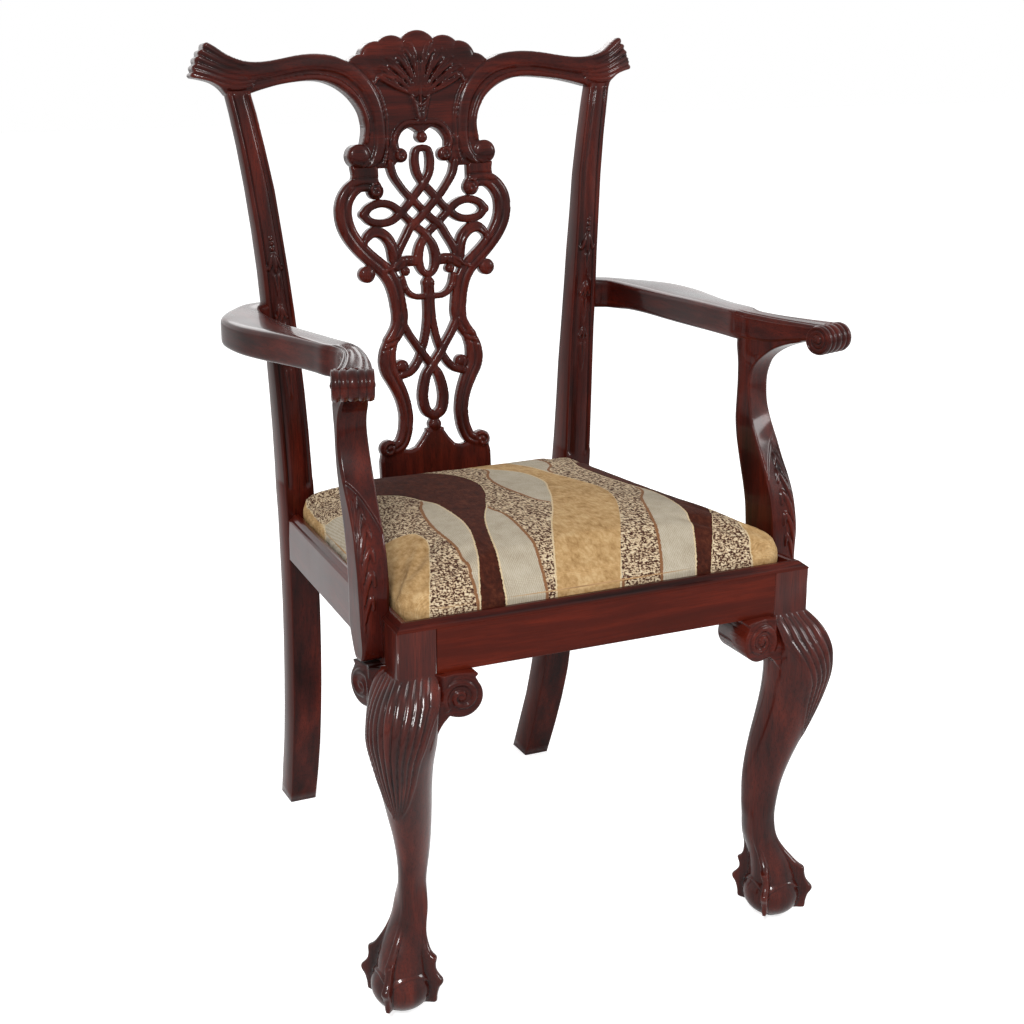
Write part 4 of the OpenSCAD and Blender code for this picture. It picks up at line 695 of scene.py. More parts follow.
class Board:
    """A grid of points across (x) and up (u), with each point's distance inside the outline and its height."""

    def __init__(self, x0, x1, u0, u1, step):
        self.x = np.arange(x0 - 2 * step, x1 + 2.5 * step, step)
        self.u = np.arange(u0 - 2 * step, u1 + 2.5 * step, step)
        self.X, self.U = np.meshgrid(self.x, self.u)
        self.step = step
        self.inside = np.full(self.X.shape, -50.0)
        self.high = np.full(self.X.shape, NOTHING)

    def window(self, x0, x1, u0, u1):
        """The part of the grid that lies in a rectangle."""
        a, b = np.searchsorted(self.x, [x0, x1])
        c, d = np.searchsorted(self.u, [u0, u1])
        return slice(c, d), slice(a, b)

    def follow(self, rows, steps=6, reach=4.0):
        """Distance to a line of rows [x, u, width, lift], with the line's half width, lift and side there."""
        p = smooth(rows, steps)
        shape = self.X.shape
        D, W, L, S = np.full(shape, 99.0), np.ones(shape), np.zeros(shape), np.zeros(shape)
        for a, b in zip(p, p[1:]):
            r = max(a[2], b[2]) / 2 + reach
            w = self.window(min(a[0], b[0]) - r, max(a[0], b[0]) + r, min(a[1], b[1]) - r, max(a[1], b[1]) + r)
            X, U = self.X[w], self.U[w]
            dx, du = b[0] - a[0], b[1] - a[1]
            t = np.clip(((X - a[0]) * dx + (U - a[1]) * du) / (dx * dx + du * du + 1e-9), 0, 1)
            ex, eu = X - a[0] - t * dx, U - a[1] - t * du
            d = np.hypot(ex, eu)
            near = d < D[w]
            for full, value in ((D, d), (W, (a[2] + t * (b[2] - a[2])) / 2), (L, a[3] + t * (b[3] - a[3])),
                                (S, np.sign(dx * eu - du * ex))):
                full[w] = np.where(near, value, full[w])
        return D, W, L, S

    def raise_to(self, where, height):
        self.high = np.maximum(self.high, np.where(where, height, NOTHING))

    def strap(self, rows, profile, steps=6, cut=True):
        """A raised band. profile gives its height from d / half width and the side of the line."""
        D, W, L, S = self.follow(rows, steps)
        if cut:
            self.inside = np.maximum(self.inside, W - D)
        self.raise_to(D < W + 3.0, L + profile(np.minimum(D / W, 1.0), S))

    def ridge(self, rows, steps=6):
        """A rounded line on top of what is there, as high as its lift."""
        D, W, L = self.follow(rows, steps)[:3]
        self.raise_to(D < W, L - 0.55 * W * round_off(D / W))

    def groove(self, rows):
        """A rounded cut below what is there, as deep as its lift is under zero."""
        D, W, L = self.follow(rows)[:3]
        self.high = self.high + np.where(D < W, L * bump(D / W) ** 0.8, 0)

    def disc(self, x, u, r, lift, power=2.2, drop=5.0, cut=True):
        """A round knob, whose rim lies drop lower than its middle."""
        D = np.hypot(self.X - x, self.U - u)
        if cut:
            self.inside = np.maximum(self.inside, r - D)
        self.raise_to(D < r + 3, lift - drop * round_off(np.minimum(D / r, 1.0), power))

    def spiral(self, x, u, r, turns, width, height, start, turn=-1):
        """A raised line that winds in from radius r."""
        rows = []
        for share in np.arange(25) / 24:
            q, at = start + turn * turns * 2 * math.pi * share, r * (1 - 0.86 * share)
            rows.append([x + at * math.cos(q), u + at * math.sin(q), width * (1 - 0.45 * share), height])
        self.ridge(rows, 4)

    def polygon(self, points):
        """Signed distance to a closed outline, over zero inside it."""
        p = np.array(points, float)
        q = np.roll(p, -1, axis=0)
        best = np.full(self.X.shape, 99.0)
        odd = np.zeros(self.X.shape, bool)
        for (ax, au), (bx, bu) in zip(p, q):
            dx, du = bx - ax, bu - au
            t = np.clip(((self.X - ax) * dx + (self.U - au) * du) / (dx * dx + du * du + 1e-9), 0, 1)
            best = np.minimum(best, np.hypot(self.X - ax - t * dx, self.U - au - t * du))
            cross = (au > self.U) != (bu > self.U)
            odd ^= cross & (self.X < (bx - ax) * (self.U - au) / (bu - au + 1e-12) + ax)
        return np.where(odd, best, -best)

    def softened(self):
        """The heights with their single steps rubbed off, as sandpaper leaves them."""
        known = (self.high > -30).astype(float)
        total, weight = np.zeros_like(self.high), np.zeros_like(self.high)
        for du, a in ((-1, 1), (0, 2), (1, 1)):
            for dx, b in ((-1, 1), (0, 2), (1, 1)):
                near = np.roll(known, (du, dx), (0, 1)) * a * b
                total += near * np.roll(self.high, (du, dx), (0, 1))
                weight += near
        return np.where(known > 0, total / np.maximum(weight, 1), self.high)

    def mesh(self, low, place, back, rounding, drop, sanded=True):
        """Cuts the board out. Heights stay over low, the rim is rounded, and place turns (x, u, height) into points."""
        F = self.inside
        flat = np.maximum(self.softened() if sanded else self.high, low)
        H = flat - drop * round_off(np.clip(1 - F / rounding, 0, 1))
        rim_high = flat - drop
        nu, nx = F.shape
        fh = np.clip(F[:, :-1] / (F[:, :-1] - F[:, 1:] + 1e-12), 0, 1)
        fv = np.clip(F[:-1] / (F[:-1] - F[1:] + 1e-12), 0, 1)
        hh = np.where(F[:, :-1] > 0, rim_high[:, :-1], rim_high[:, 1:])
        vh = np.where(F[:-1] > 0, rim_high[:-1], rim_high[1:])
        xs, us, hs = (np.concatenate([a.ravel() for a in parts]) for parts in (
            (self.X, self.X[:, :-1] + fh * self.step, self.X[:-1]),
            (self.U, self.U[:, :-1], self.U[:-1] + fv * self.step), (H, hh, vh)))
        n_grid, n_h = nu * nx, nu * (nx - 1)
        bits = (F > 0).astype(int)
        case = bits[:-1, :-1] + 2 * bits[:-1, 1:] + 4 * bits[1:, 1:] + 8 * bits[1:, :-1]
        front, rim = [], []
        for c, polys in CASES.items():
            jj, ii = np.nonzero(case == c)
            token = [jj * nx + ii, jj * nx + ii + 1, (jj + 1) * nx + ii + 1, (jj + 1) * nx + ii,
                     n_grid + jj * (nx - 1) + ii, n_grid + n_h + jj * nx + ii + 1,
                     n_grid + (jj + 1) * (nx - 1) + ii, n_grid + n_h + jj * nx + ii]
            for poly in polys:
                front += list(zip(*[token[k] for k in poly]))
                for k in range(len(poly)):
                    a, b = poly[k], poly[(k + 1) % len(poly)]
                    if a > 3 and b > 3:
                        rim += list(zip(token[a], token[b]))
        used = np.unique(np.fromiter((v for f in front for v in f), int))
        new = np.full(len(xs), -1)
        new[used] = np.arange(len(used))
        count = len(used)
        top = place(xs[used], us[used], hs[used])
        deep = back(xs[used], us[used]) if callable(back) else np.full(count, back)
        bottom = place(xs[used], us[used], -deep)
        faces = [tuple(new[list(f)]) for f in front]
        faces += [tuple(v + count for v in reversed(f)) for f in faces]
        faces += [(new[b], new[a], new[a] + count, new[b] + count) for a, b in rim]
        return np.vstack([top, bottom]), faces


TILT = math.radians(5.4)
BACK_Y, BACK_Z = 487.8, 468.0


def on_back(x, u, d):
    """A point of the leaning back: across, up along it, and how far behind its front face."""
    return np.column_stack([x, BACK_Y + u * math.sin(TILT) + d * math.cos(TILT),
                            BACK_Z + u * math.cos(TILT) - d * math.sin(TILT)])


def up(z):
    """The place along the leaning back of a height over the floor."""
    return (z - BACK_Z) / math.cos(TILT)


print("board ready")


# %% [markdown]
# The splat is the interlaced panel of the back. Its straps cross over and under each other like ribbon, so
# each strap carries a height of its own, and dips where another strap passes over it.
# %% Pierced splat
def strap_round(t, side):
    return -3.8 * round_off(t, 3)


def strap_grooved(t, side):
    return -3.8 * round_off(t, 3.2) - 1.7 * bump((t * side + 0.10) / 0.20)


def sided(side, rows):
    return [[side * x, *rest] for x, *rest in rows]


def ribbon(board, rows, profile, over=(), under=()):
    """A strap and its mirror image. under lists (x, u) where the right strap dips, over where the left one does."""
    fine = smooth(rows, 5)
    for side, dips in ((1, list(under)), (-1, list(over) + [(-x, u) for x, u in under if abs(x) > 6])):
        p = np.column_stack([side * fine[:, 0], fine[:, 1:], np.zeros(len(fine))])
        for x, u in dips:
            p[:, 3] -= DIP * np.exp(-((p[:, 0] - x) ** 2 + (p[:, 1] - u) ** 2) / 64.0)
        board.strap(p, lambda t, s: profile(t, s * side), 1)


DIP = 2.9
splat = Board(-119.7, 119.7, 0, 432, 1.14)
LOOP_TOP = [[0, 424, 8], [8, 421, 9], [10.5, 409, 10], [8.5, 393, 10], [0, 379, 10], [-8, 370, 10], [-16, 361, 10],
            [-25, 351, 10], [-33, 344, 10]]
LOOP_LOW = [[33, 344, 10], [25, 336, 10], [16, 327, 10], [8, 321, 10], [0, 313, 10], [-8, 302, 11], [-12, 289, 12],
            [-11.5, 277, 11], [-7, 267, 9], [0, 263, 9]]
EYE_TOP = [[30, 341, 10.4], [42, 351, 10], [52, 355.6, 10], [64, 356.2, 10], [76, 352, 10], [84, 343, 10.6]]
EYE_LOW = [[30, 346, 10.4], [42, 336.5, 10], [52, 332.4, 10], [64, 331.8, 10], [76, 335, 10], [84, 344, 10.6]]
CROSS = [[45, 406, 10], [41, 391, 9.6], [33.5, 379, 9], [25, 368, 9], [16, 359, 10], [8, 351, 10], [0, 343, 10],
         [-8, 335, 10], [-20.5, 325, 10], [-28, 313, 10], [-36, 300, 10], [-44, 286, 12]]
SCROLL = [[66, 377, 16], [78, 382, 18], [91, 380, 19.5], [102, 371, 20.5], [109, 358, 21], [110.3, 343, 21],
          [107.6, 329, 21], [101.4, 316, 20.4], [92, 303, 19.6], [80.6, 291, 19.4], [68.4, 280, 20], [57, 269, 21],
          [49, 256, 21], [44.5, 240, 20], [42, 224, 20], [41, 212, 20], [43, 200, 19], [49, 189, 18], [56, 180, 17]]
SIDE = [[55, 180, 17], [60, 167, 20], [61.5, 154, 22], [60, 142, 21], [54, 130, 20], [47, 115, 18.5], [42, 100, 17.5],
        [39.5, 84, 17], [39.8, 72, 17], [42, 59, 17], [48, 46, 17], [58, 40, 16]]
LEAF = [[45, 286, 15], [47.6, 300, 13.6], [52.6, 311, 14], [62, 319, 14], [72.6, 320.6, 13], [81.4, 314, 10],
        [85, 304, 3.5]]
INNER = [[38, 202, 10], [30, 187, 10], [22, 175, 10], [12, 160, 11], [0, 144, 11], [-9, 131, 12], [-14.5, 106, 13],
         [-11, 86, 13], [0, 78, 12]]
CENTRE = [[3.2, 250, 8], [3.2, 230, 8], [3.5, 212, 8], [5, 195, 9], [9, 177, 9], [14, 163, 9], [21, 149, 10],
          [31, 139, 10], [42, 136, 11]]
ARCH = [[0, 235, 8], [10, 235, 7.5], [18, 235.5, 7.5], [27, 240, 8], [33, 249, 8], [36, 260, 8]]
LEDGE = [[14, 281, 13], [24, 282, 14], [34, 281, 14], [44, 276, 14]]
for rows, profile, over, under in (
        (LOOP_TOP, strap_round, [(0, 379)], []), (LOOP_LOW, strap_round, [], [(17, 328), (0, 313)]),
        (CROSS, strap_round, [(0, 343)], [(-17, 360)]), (EYE_TOP, strap_round, [], []), (EYE_LOW, strap_round, [], []),
        (SCROLL, strap_grooved, [], [(78, 318)]), (SIDE, strap_grooved, [], []), (LEAF, strap_round, [], []),
        (INNER, strap_round, [(0, 144)], []), (CENTRE, strap_round, [], [(15, 163)]), (ARCH, strap_round, [], []),
        (LEDGE, strap_round, [], [])):
    ribbon(splat, rows, profile, over, under)
KNOBS = [[66, 372, 10.5, 0.6], [83.5, 268, 10.5, 0.6], [66, 40, 12, 0.6], [42, 147, 8.5, 0.6], [31, 269, 6, 0.6]]
BEADS = [[34, 248, 2.6, 1.5], [30, 243, 2.0, 1.2], [27, 283, 6.0, 1.8]]
RIDGES = [[[45, 287, 3, 1.6], [50, 303, 3.4, 1.8], [60, 314, 3.6, 2], [72, 317, 3, 1.6], [80, 311, 2.4, 1]],
          [[42.5, 291, 2, 0.6], [45, 304, 2.4, 0.8], [52, 316, 2.4, 0.6], [63, 323, 2, -0.4]],
          [[36, 284, 3, 1.2], [44, 279, 4, 1.6], [50, 274, 3, 1.2], [58, 271, 3, 0.8]]]
BANDS = [[[47, 183, 3, -1.8], [56, 180, 3, -1.8], [65, 177, 3, -1.8]],
         [[49, 175, 2.4, -1.4], [58, 172, 2.4, -1.4], [67, 169, 2.4, -1.4]]]
for side in (-1, 1):
    for row in sided(side, KNOBS):
        splat.disc(*row)
    splat.spiral(side * 66, 373, 8.6, 1.25, 3.2, 2.2, math.pi / 2, -side)
    splat.spiral(side * 66, 40, 9.6, 1.3, 3.4, 2.2, math.pi / 2 + side * 0.6, -side)
    for row in sided(side, BEADS):
        splat.disc(*row, cut=False)
    for rows in RIDGES:
        splat.ridge(sided(side, rows))
    for rows in BANDS:
        splat.groove(sided(side, rows))
splat.disc(0, 252, 8.0, 1.4)
splat.disc(0, 66.5, 8.5, 0.8)
BASE = [[-12, 62], [0, 62], [6, 61.5], [13, 57], [19, 48], [27, 39], [36, 36], [46, 38], [62, 44], [75, 36], [78, 24],
        [78, -4], [-12, -4]]
BLOCK = [[61.5, 404], [97, 404], [95.5, 393], [98, 384], [96, 372], [60, 372], [61.5, 386]]
for shape, lift in ((BASE, -1.6), (BLOCK, -1.2)):
    d = splat.polygon(shape)
    d = np.maximum(d, d[:, ::-1])
    splat.inside = np.maximum(splat.inside, d)
    splat.raise_to(d > -2, lift - 2.2 * np.clip(1 - d / 3.0, 0, 1) ** 2)
BLOCK_BANDS = [[[60, 388, 3, -1.6], [78, 388.5, 3, -1.6], [98, 388, 3, -1.6]],
               [[59, 379, 2.6, -1.4], [78, 379.5, 2.6, -1.4], [99, 379, 2.6, -1.4]]]
for side in (-1, 1):
    for rows in BLOCK_BANDS:
        splat.groove(sided(side, rows))
# The top ends in three steps, so that the scrolls of the crest rail sit on the splat without a gap.
roof = np.where(np.abs(splat.X) > 48, np.where(np.abs(splat.X) > 64, 405.0, 400.5), 430.0)
splat.inside = np.minimum(splat.inside, np.minimum(splat.U, roof - splat.U))
verts, faces = splat.mesh(-8.0, lambda x, u, h: on_back(x, u, -h), 14.0, 0.8, 0.5)
piece("splat_carved", verts, faces, mahogany_up, "splat", 0.24)


# %% [markdown]
# The crest rail is carved from a thick curved board. A shell of plump lobes stands in the middle, with a fan
# of leaves on the sunk ground in front of it. Two arms sweep out of it to the ears: a broad roll, a hollow
# and a bead along the lower edge. The ears end in reeds. The board is carved flat and then bent to the bow of
# the back by its own place function.
# %% Carved crest rail
crest = Board(-300.0, 300.0, 396, 572, 1.25)
TALL = 169.5 / 167  # the outline was drawn 167 mm high, and the board is 169.5


def cu(u):
    """The place along the leaning back of a height on the drawn outline."""
    return 400 + u * TALL


CREST_LOW = [[-12, 48], [0, 41.5], [5, 43.5], [13, 49], [23, 46], [29, 40], [32, 32], [31, 24], [34, 8], [42, 1],
             [48, 0], [88, 0.6]]
CREST_ARM = [[80, 30], [77, 42], [76.5, 54], [79, 67], [85, 78], [94, 88.5], [105, 97], [117, 103], [131, 107],
             [148, 108], [168, 106.5], [190, 103.5], [210, 99], [228, 94]]
CREST_EAR = [[257, 92], [264, 101], [273, 107.5], [285, 111.5], [297, 114]]
CREST_END = [[295.5, 121], [292.5, 130], [288.5, 139], [283, 147], [277, 154.5]]
CREST_BACK = [[268, 148.5], [256, 140], [242, 133.5], [225, 130.5], [205, 131], [185, 134], [165, 137.5],
              [145, 139.5], [128, 139], [112, 136.5], [98, 131], [60, 120], [-12, 120]]


def scallops(rows, count, depth):
    """A run of points with small round lobes along it."""
    p = smooth(rows, 12)
    t = np.linspace(0, 1, len(p))
    d = np.gradient(p, axis=0)
    n = np.column_stack([d[:, 1], -d[:, 0]]) / np.linalg.norm(d, axis=1)[:, None]
    return p + n * (depth * (np.abs(np.sin(math.pi * t * count)) - 0.75))[:, None]


SUNK = -4.6  # the ground that the leaves lie on
outline = np.vstack([smooth(CREST_LOW, 2), smooth(CREST_ARM, 4), smooth(CREST_EAR, 4),
                     scallops([[297, 114]] + CREST_END, 5, 2.6), smooth(CREST_BACK, 4)])
SHELL = [(0, 140, 27), (35, 137, 24), (56, 132, 22), (76, 118, 21)]
right = crest.polygon([[x, cu(u)] for x, u in outline])
for x, u, r in SHELL + [(86, 16, 15), (30, 15, 9), (0, 36.4, 7.0)]:
    right = np.maximum(right, r - np.hypot(crest.X - x, crest.U - cu(u)))
crest.inside = np.maximum(right, right[:, ::-1])
crest.high = np.where(crest.inside > -4, -3.6, NOTHING)
shell = crest.polygon([[x, up(z)] for x, z in (
    (-12, 922), (10, 922), (30, 921), (40, 905), (46, 905), (47, 935), (52, 952), (58, 964), (70, 981), (85, 993),
    (97, 1000), (92, 1012), (60, 1030), (-12, 1042))])
shell = np.maximum(shell, shell[:, ::-1])
crest.high = np.where(shell > 0, SUNK, crest.high)
lobes = np.full(crest.X.shape, NOTHING)
for x, u, r in SHELL:
    d = np.hypot(crest.X - x, crest.U - cu(u)) / r
    lobes = np.maximum(lobes, np.where(d < 1.12, 0.2 - 1.0 * d ** 2 - 2.4 * d ** 6, NOTHING))
lobes = np.maximum(lobes, lobes[:, ::-1])
fan = ease((np.hypot(crest.X * 0.92, crest.U - up(962)) - 30) / 14)
crest.high = np.where((shell > 0) & (lobes > -50), np.maximum(crest.high, SUNK + (lobes - SUNK) * fan), crest.high)

# rows of x, height over the floor, width and lift
ROLL = [[82, 871, 7, -0.6], [72, 873, 11, 0], [62, 881, 14, 0.2], [57, 898, 15, 0.2], [57, 922, 16, 0.3],
        [61, 944, 17, 0.4], [69.5, 962, 18, 0.4], [83, 978, 19, 0.3], [101, 989.5, 20, 0.2], [122, 995, 21, 0],
        [145, 996.2, 21, 0], [165, 994.6, 21, 0], [185, 991.5, 21, 0], [205, 988.2, 21, -0.2], [225, 986.5, 22, -0.6],
        [242, 988, 24, -1.6]]
HOLLOW = [[70, 893, 4, -1.6], [67.8, 903, 5.5, -2.6], [67.6, 922, 6, -2.8], [72, 942.5, 6.5, -3],
          [79.8, 957.5, 6.5, -3], [91.5, 969.5, 6.5, -3], [107, 978.8, 6.5, -3], [124, 983.4, 6, -2.8],
          [145, 984.8, 6, -2.6], [165, 983.4, 6, -2.2], [185, 980, 6, -1.6], [205, 976.5, 5, -1], [222, 973, 4, -0.4]]
BEAD = [[75.6, 900, 5.5, -0.4], [73.8, 912, 6, -0.2], [73.6, 924, 6.5, 0], [78.4, 939.5, 6.5, 0], [85, 952, 6.5, 0],
        [95.5, 963, 6.5, 0], [109, 972.2, 6.5, 0], [125, 977.4, 6.5, 0], [145, 979, 6.5, 0], [165, 977.5, 6.5, -0.2],
        [185, 974, 6.5, -0.6], [205, 970.5, 6.5, -1.2], [224, 967, 6, -2]]
FILLET = [[53, 871, 3, -1.2], [49, 884, 3, -1], [47.6, 897, 3, -1], [46.8, 922, 3.2, -0.8], [50, 943, 3.2, -0.6],
          [56.5, 960, 3.2, -0.6], [68, 977, 3.4, -0.6], [82, 990.5, 3.2, -0.8], [95, 998.5, 3, -1.2]]
CURL = [[0, 921, 5, -1.4], [9, 922, 6, -0.6], [20, 921.5, 6.4, -0.2], [29.5, 916, 6.4, 0], [36.5, 906.5, 6.4, 0.2],
        [38.5, 895, 6.4, 0.4], [35, 886, 6.4, 0.6]]
CURL_CUT = [[12, 929, 3, -1.2], [24, 928, 3.6, -1.4], [35, 920.5, 3.6, -1.4], [42, 908, 3.4, -1.4],
            [43.6, 893, 3, -1.2]]
EAR_REEDS = [[[214, 995.5, 4, -2], [232, 994.5, 7, -1.2], [255, 1002, 7, -0.6], [270, 1011, 7, -0.5],
              [283, 1021, 7, -1]],
             [[216, 990, 4, -2], [236, 989, 7, -1.2], [256, 995.5, 7, -0.6], [272, 1004, 7, -0.4],
              [289, 1015, 7, -1]],
             [[218, 985, 4, -2], [238, 983.5, 7, -1.2], [258, 989, 7, -0.6], [275, 997, 7, -0.4],
              [293, 1006.5, 7, -1]],
             [[220, 980, 4, -2], [240, 978, 7, -1.2], [260, 983, 7, -0.6], [277, 990, 7, -0.4], [296.5, 998, 7, -1]],
             [[222, 975.5, 4, -2], [243, 973, 7, -1.2], [262, 977.5, 7, -0.6], [279, 984, 7, -0.4],
              [299, 990.5, 7, -1]],
             [[226, 971, 4, -2], [246, 968, 7, -1.4], [264, 972, 7, -0.8], [281, 978.5, 6.5, -0.6],
              [299, 984, 6, -1.2]]]
LEAVES = [[[2.5, 958], [4, 972], [5, 988], [7, 1004], [12, 1017], [18, 1021]],
          [[4, 956], [8, 970], [13, 985], [20, 1000], [29, 1011], [36, 1010]],
          [[5, 955], [12, 967], [21, 980], [32, 992], [43, 1001], [50.5, 998]],
          [[6, 954], [16, 964], [28, 974], [42, 984], [53, 991], [60, 986]],
          [[7, 954], [19, 960], [32, 966], [46, 973.5], [55, 978], [59.5, 972]]]
LEAF_WIDE, LEAF_LIFT = [3.2, 4.6, 6.0, 6.6, 5.2, 3.2], [-1.4, 0.2, 1.2, 1.6, 1.0, -0.4]
CURLS = [[[9.5, 992], [13, 1003], [20, 1010], [22, 1003]],
         [[15, 982], [22, 994], [30, 1001], [33, 994]],
         [[22, 975], [31, 985], [42, 992], [44, 985]],
         [[28, 967], [39, 976], [50, 981], [51, 974]]]
CURL_WIDE, CURL_LIFT = [2.6, 3.8, 3.8, 2.6], [-0.6, 1.5, 1.7, 0.8]


def raised(rows):
    return [[x, up(z), w, lift] for x, z, w, lift in rows]


def leaf_rows(points, wide, lift):
    return raised([[x, z, w, h] for (x, z), w, h in zip(points, wide, lift)])


crest.strap(raised(ROLL), lambda t, side: -4.2 * round_off(t, 2.4), cut=False)
crest.groove(raised(HOLLOW))
for rows in [BEAD, FILLET] + EAR_REEDS:
    crest.ridge(raised(rows))
for points in LEAVES:
    crest.ridge(leaf_rows(points, LEAF_WIDE, LEAF_LIFT))
for points in LEAVES:
    crest.groove(leaf_rows(points[:-1], [1.2, 1.6, 2.0, 2.2, 1.8], [-0.6, -1.1, -1.5, -1.5, -0.8]))
for points in CURLS:
    crest.ridge(leaf_rows(points, CURL_WIDE, CURL_LIFT))
for points in LEAVES + CURLS:
    crest.disc(points[-1][0], up(points[-1][1]), 2.1, 0.9, cut=False)
for k in range(4):
    z = 948 - 6.5 * k
    crest.ridge(leaf_rows([[1.5, z - 6], [6.5 - k, z - 2], [11 - 1.8 * k, z + 3], [12.5 - 2 * k, z + 8]],
                          [3.0, 4.6, 4.0, 2.4], [-1.0, 0.2, 0.5, -0.8]))
crest.ridge(raised(CURL))
crest.groove(raised(CURL_CUT))
crest.disc(30, cu(15), 9.4, 0.6, cut=False)
crest.spiral(30, cu(15), 7.6, 1.1, 3.0, 2.0, math.pi / 2)
crest.disc(0, cu(36.4), 7.2, 1.2, cut=False)
crest.disc(86, cu(16), 15, 0.6, 2.6, 6.0, cut=False)
crest.groove([[70, cu(20), 3.0, -1.4], [72, cu(8), 3.4, -1.6], [80, cu(1.5), 3.0, -1.4]])
crest.high = np.maximum(crest.high, crest.high[:, ::-1])
stem_height = np.maximum(0, 1 - np.abs(crest.X) / 1.9) * ease((crest.U - up(918)) / 10) * ease((up(1022) - crest.U) / 8)
crest.high = np.where(np.abs(crest.X) < 1.9, np.maximum(crest.high, -3.4 + 3.6 * np.sqrt(stem_height)), crest.high)
PLAN = smooth([[0, 0], [0.20, -0.01], [0.40, -0.18], [0.60, -0.58], [0.78, -0.98], [0.85, -1.02], [0.91, -0.86],
               [1.03, -0.40]], 8)


def on_crest(x, u, h):
    """A point of the bent board: PLAN gives the bow of the back, as shares of 297 mm across and 25 mm deep."""
    return on_back(x, u, -1 + 25 * along(PLAN, np.abs(x) / 297)[0] - h)


def crest_back(x, u):
    """The tongue between the scrolls is cut as thin as the splat."""
    return 14 + 10 * ease((u - 428) / 24 + np.maximum(0, np.abs(x) - 66) / 12)


verts, faces = crest.mesh(-9.0, on_crest, crest_back, 2.2, 1.6, sanded=False)
piece("crest_rail_carved", verts, faces, mahogany_across, "crest_rail", 0.26)


# %% [markdown]
# Beside each knee hangs a bracket whose lower end rolls into a scroll. It is one small carved board for the
# front of the leg and another for its side.
# %% Knee brackets
BRACKET = [[0, 0], [79, 0], [83, 6], [86, 12], [85, 20], [70, 26], [58, 43], [54, 46], [47, 52], [41, 61], [37, 72],
           [35, 80], [0, 80]]
EYE_X, EYE_U, EYE_R = 67.0, -25.5, 23.6
RAIL_LOW, RAIL_FACE, SIDE_ANGLE = 402.0, 20.5, math.atan(0.08051)


def bracket_board(sink, turn, drop):
    """sink and drop lay the end by the knee lower, drop only under the rail, and turn faces the scroll to the knee."""
    b = Board(34, 92, -82, 1, 0.85)
    sawn = b.polygon([[x, -u] for x, u in smooth(BRACKET, 4)])
    disc = EYE_R - np.hypot(b.X - EYE_X, b.U - EYE_U)
    b.inside = np.minimum(np.minimum(np.maximum(sawn, disc), b.X - 35), 0.5 - b.U)
    lean = np.interp(b.X, [34, 44, 50, 58], [-sink, -0.55 * sink, -0.3 * sink, -1.6])
    lean = lean - drop * ease((b.U + 34) / 24) * (1 - ease((b.X - 37) / 12))
    b.high = np.where(b.inside > -4, np.where(b.X > 58, -2.2, lean), NOTHING)
    b.raise_to(disc > -3, -0.8 - 2.0 * np.clip(1 - disc / 3.0, 0, 1) ** 2)
    b.spiral(EYE_X, EYE_U, 19.8, 1.55, 6.6, 1.9, math.radians(215))
    b.disc(EYE_X, EYE_U, 5.2, 2.2, cut=False)
    b.high = b.high + turn * np.clip(b.X - EYE_X, -10, 30)
    return b


def bracket_back(x, u):
    """The block behind the scroll is deep, and the neck beside it is thin."""
    return 16 + 40 * ease((x - 50) / 5)


def on_rail_front(x, u, h):
    return np.column_stack([SEAT_X - x, -12.0 - h, RAIL_LOW + u])


def on_rail_side(x, u, h):
    out, s, c = RAIL_FACE + h, math.sin(SIDE_ANGLE), math.cos(SIDE_ANGLE)
    return np.column_stack([SEAT_X - x * s + out * c, x * c + out * s, RAIL_LOW - FALL * x + u])


for way, board, place, material, order in (
        ("front", bracket_board(-1.5, 0.16, 14.0), on_rail_front, mahogany_across, 1),
        ("side", bracket_board(1.0, 0.3, 15.0), on_rail_side, mahogany_back, -1)):
    verts, faces = board.mesh(-24, place, bracket_back, 1.0, 0.7)
    both("knee_bracket_" + way + "_carved", verts, [f[::order] for f in faces], material, "knee_bracket_" + way, 0.18)


# %% [markdown]
# The rails, mouldings and the shoe are plain joinery, and their exact solids already have the right shape.
# A maker still takes every sharp corner off with a plane stroke. Each solid is copied, its loose triangles are
# merged, and its edges get a small round, because a round edge catches the light as real wood does.
# %% Rails, mouldings, shoe and blocks
def eased(node_name, material, width):
    mesh = frame["nodes"][node_name].data.copy()
    bm = bmesh.new()
    bm.from_mesh(mesh)
    bmesh.ops.remove_doubles(bm, verts=bm.verts, dist=2e-5)
    bmesh.ops.dissolve_limit(bm, angle_limit=math.radians(1.2), verts=bm.verts, edges=bm.edges)
    sharp = [e for e in bm.edges if len(e.link_faces) == 2 and e.calc_face_angle(0) > math.radians(25)]
    bmesh.ops.bevel(bm, geom=sharp, offset=width / 1000, segments=3, profile=0.5, affect="EDGES", clamp_overlap=True)
    bmesh.ops.triangulate(bm, faces=[f for f in bm.faces if len(f.verts) > 4])
    bm.to_mesh(mesh)
    bm.free()
    mesh.name = node_name + "_eased"
    seat(mesh.name, mesh, material, replaces=[node_name], shade=False)


for names, material, width in (
        (("front_rail",), mahogany_rail, 0.9), (("rear_rail", "splat_shoe"), mahogany_across, 0.9),
        (("side_rail_left", "side_rail_right"), mahogany_back, 0.9), (("seat_moulding_front",), mahogany_rail, 0.5),
        (("seat_moulding_left", "seat_moulding_right"), mahogany_back, 0.5)):
    for node_name in names:
        eased(node_name, material, width)
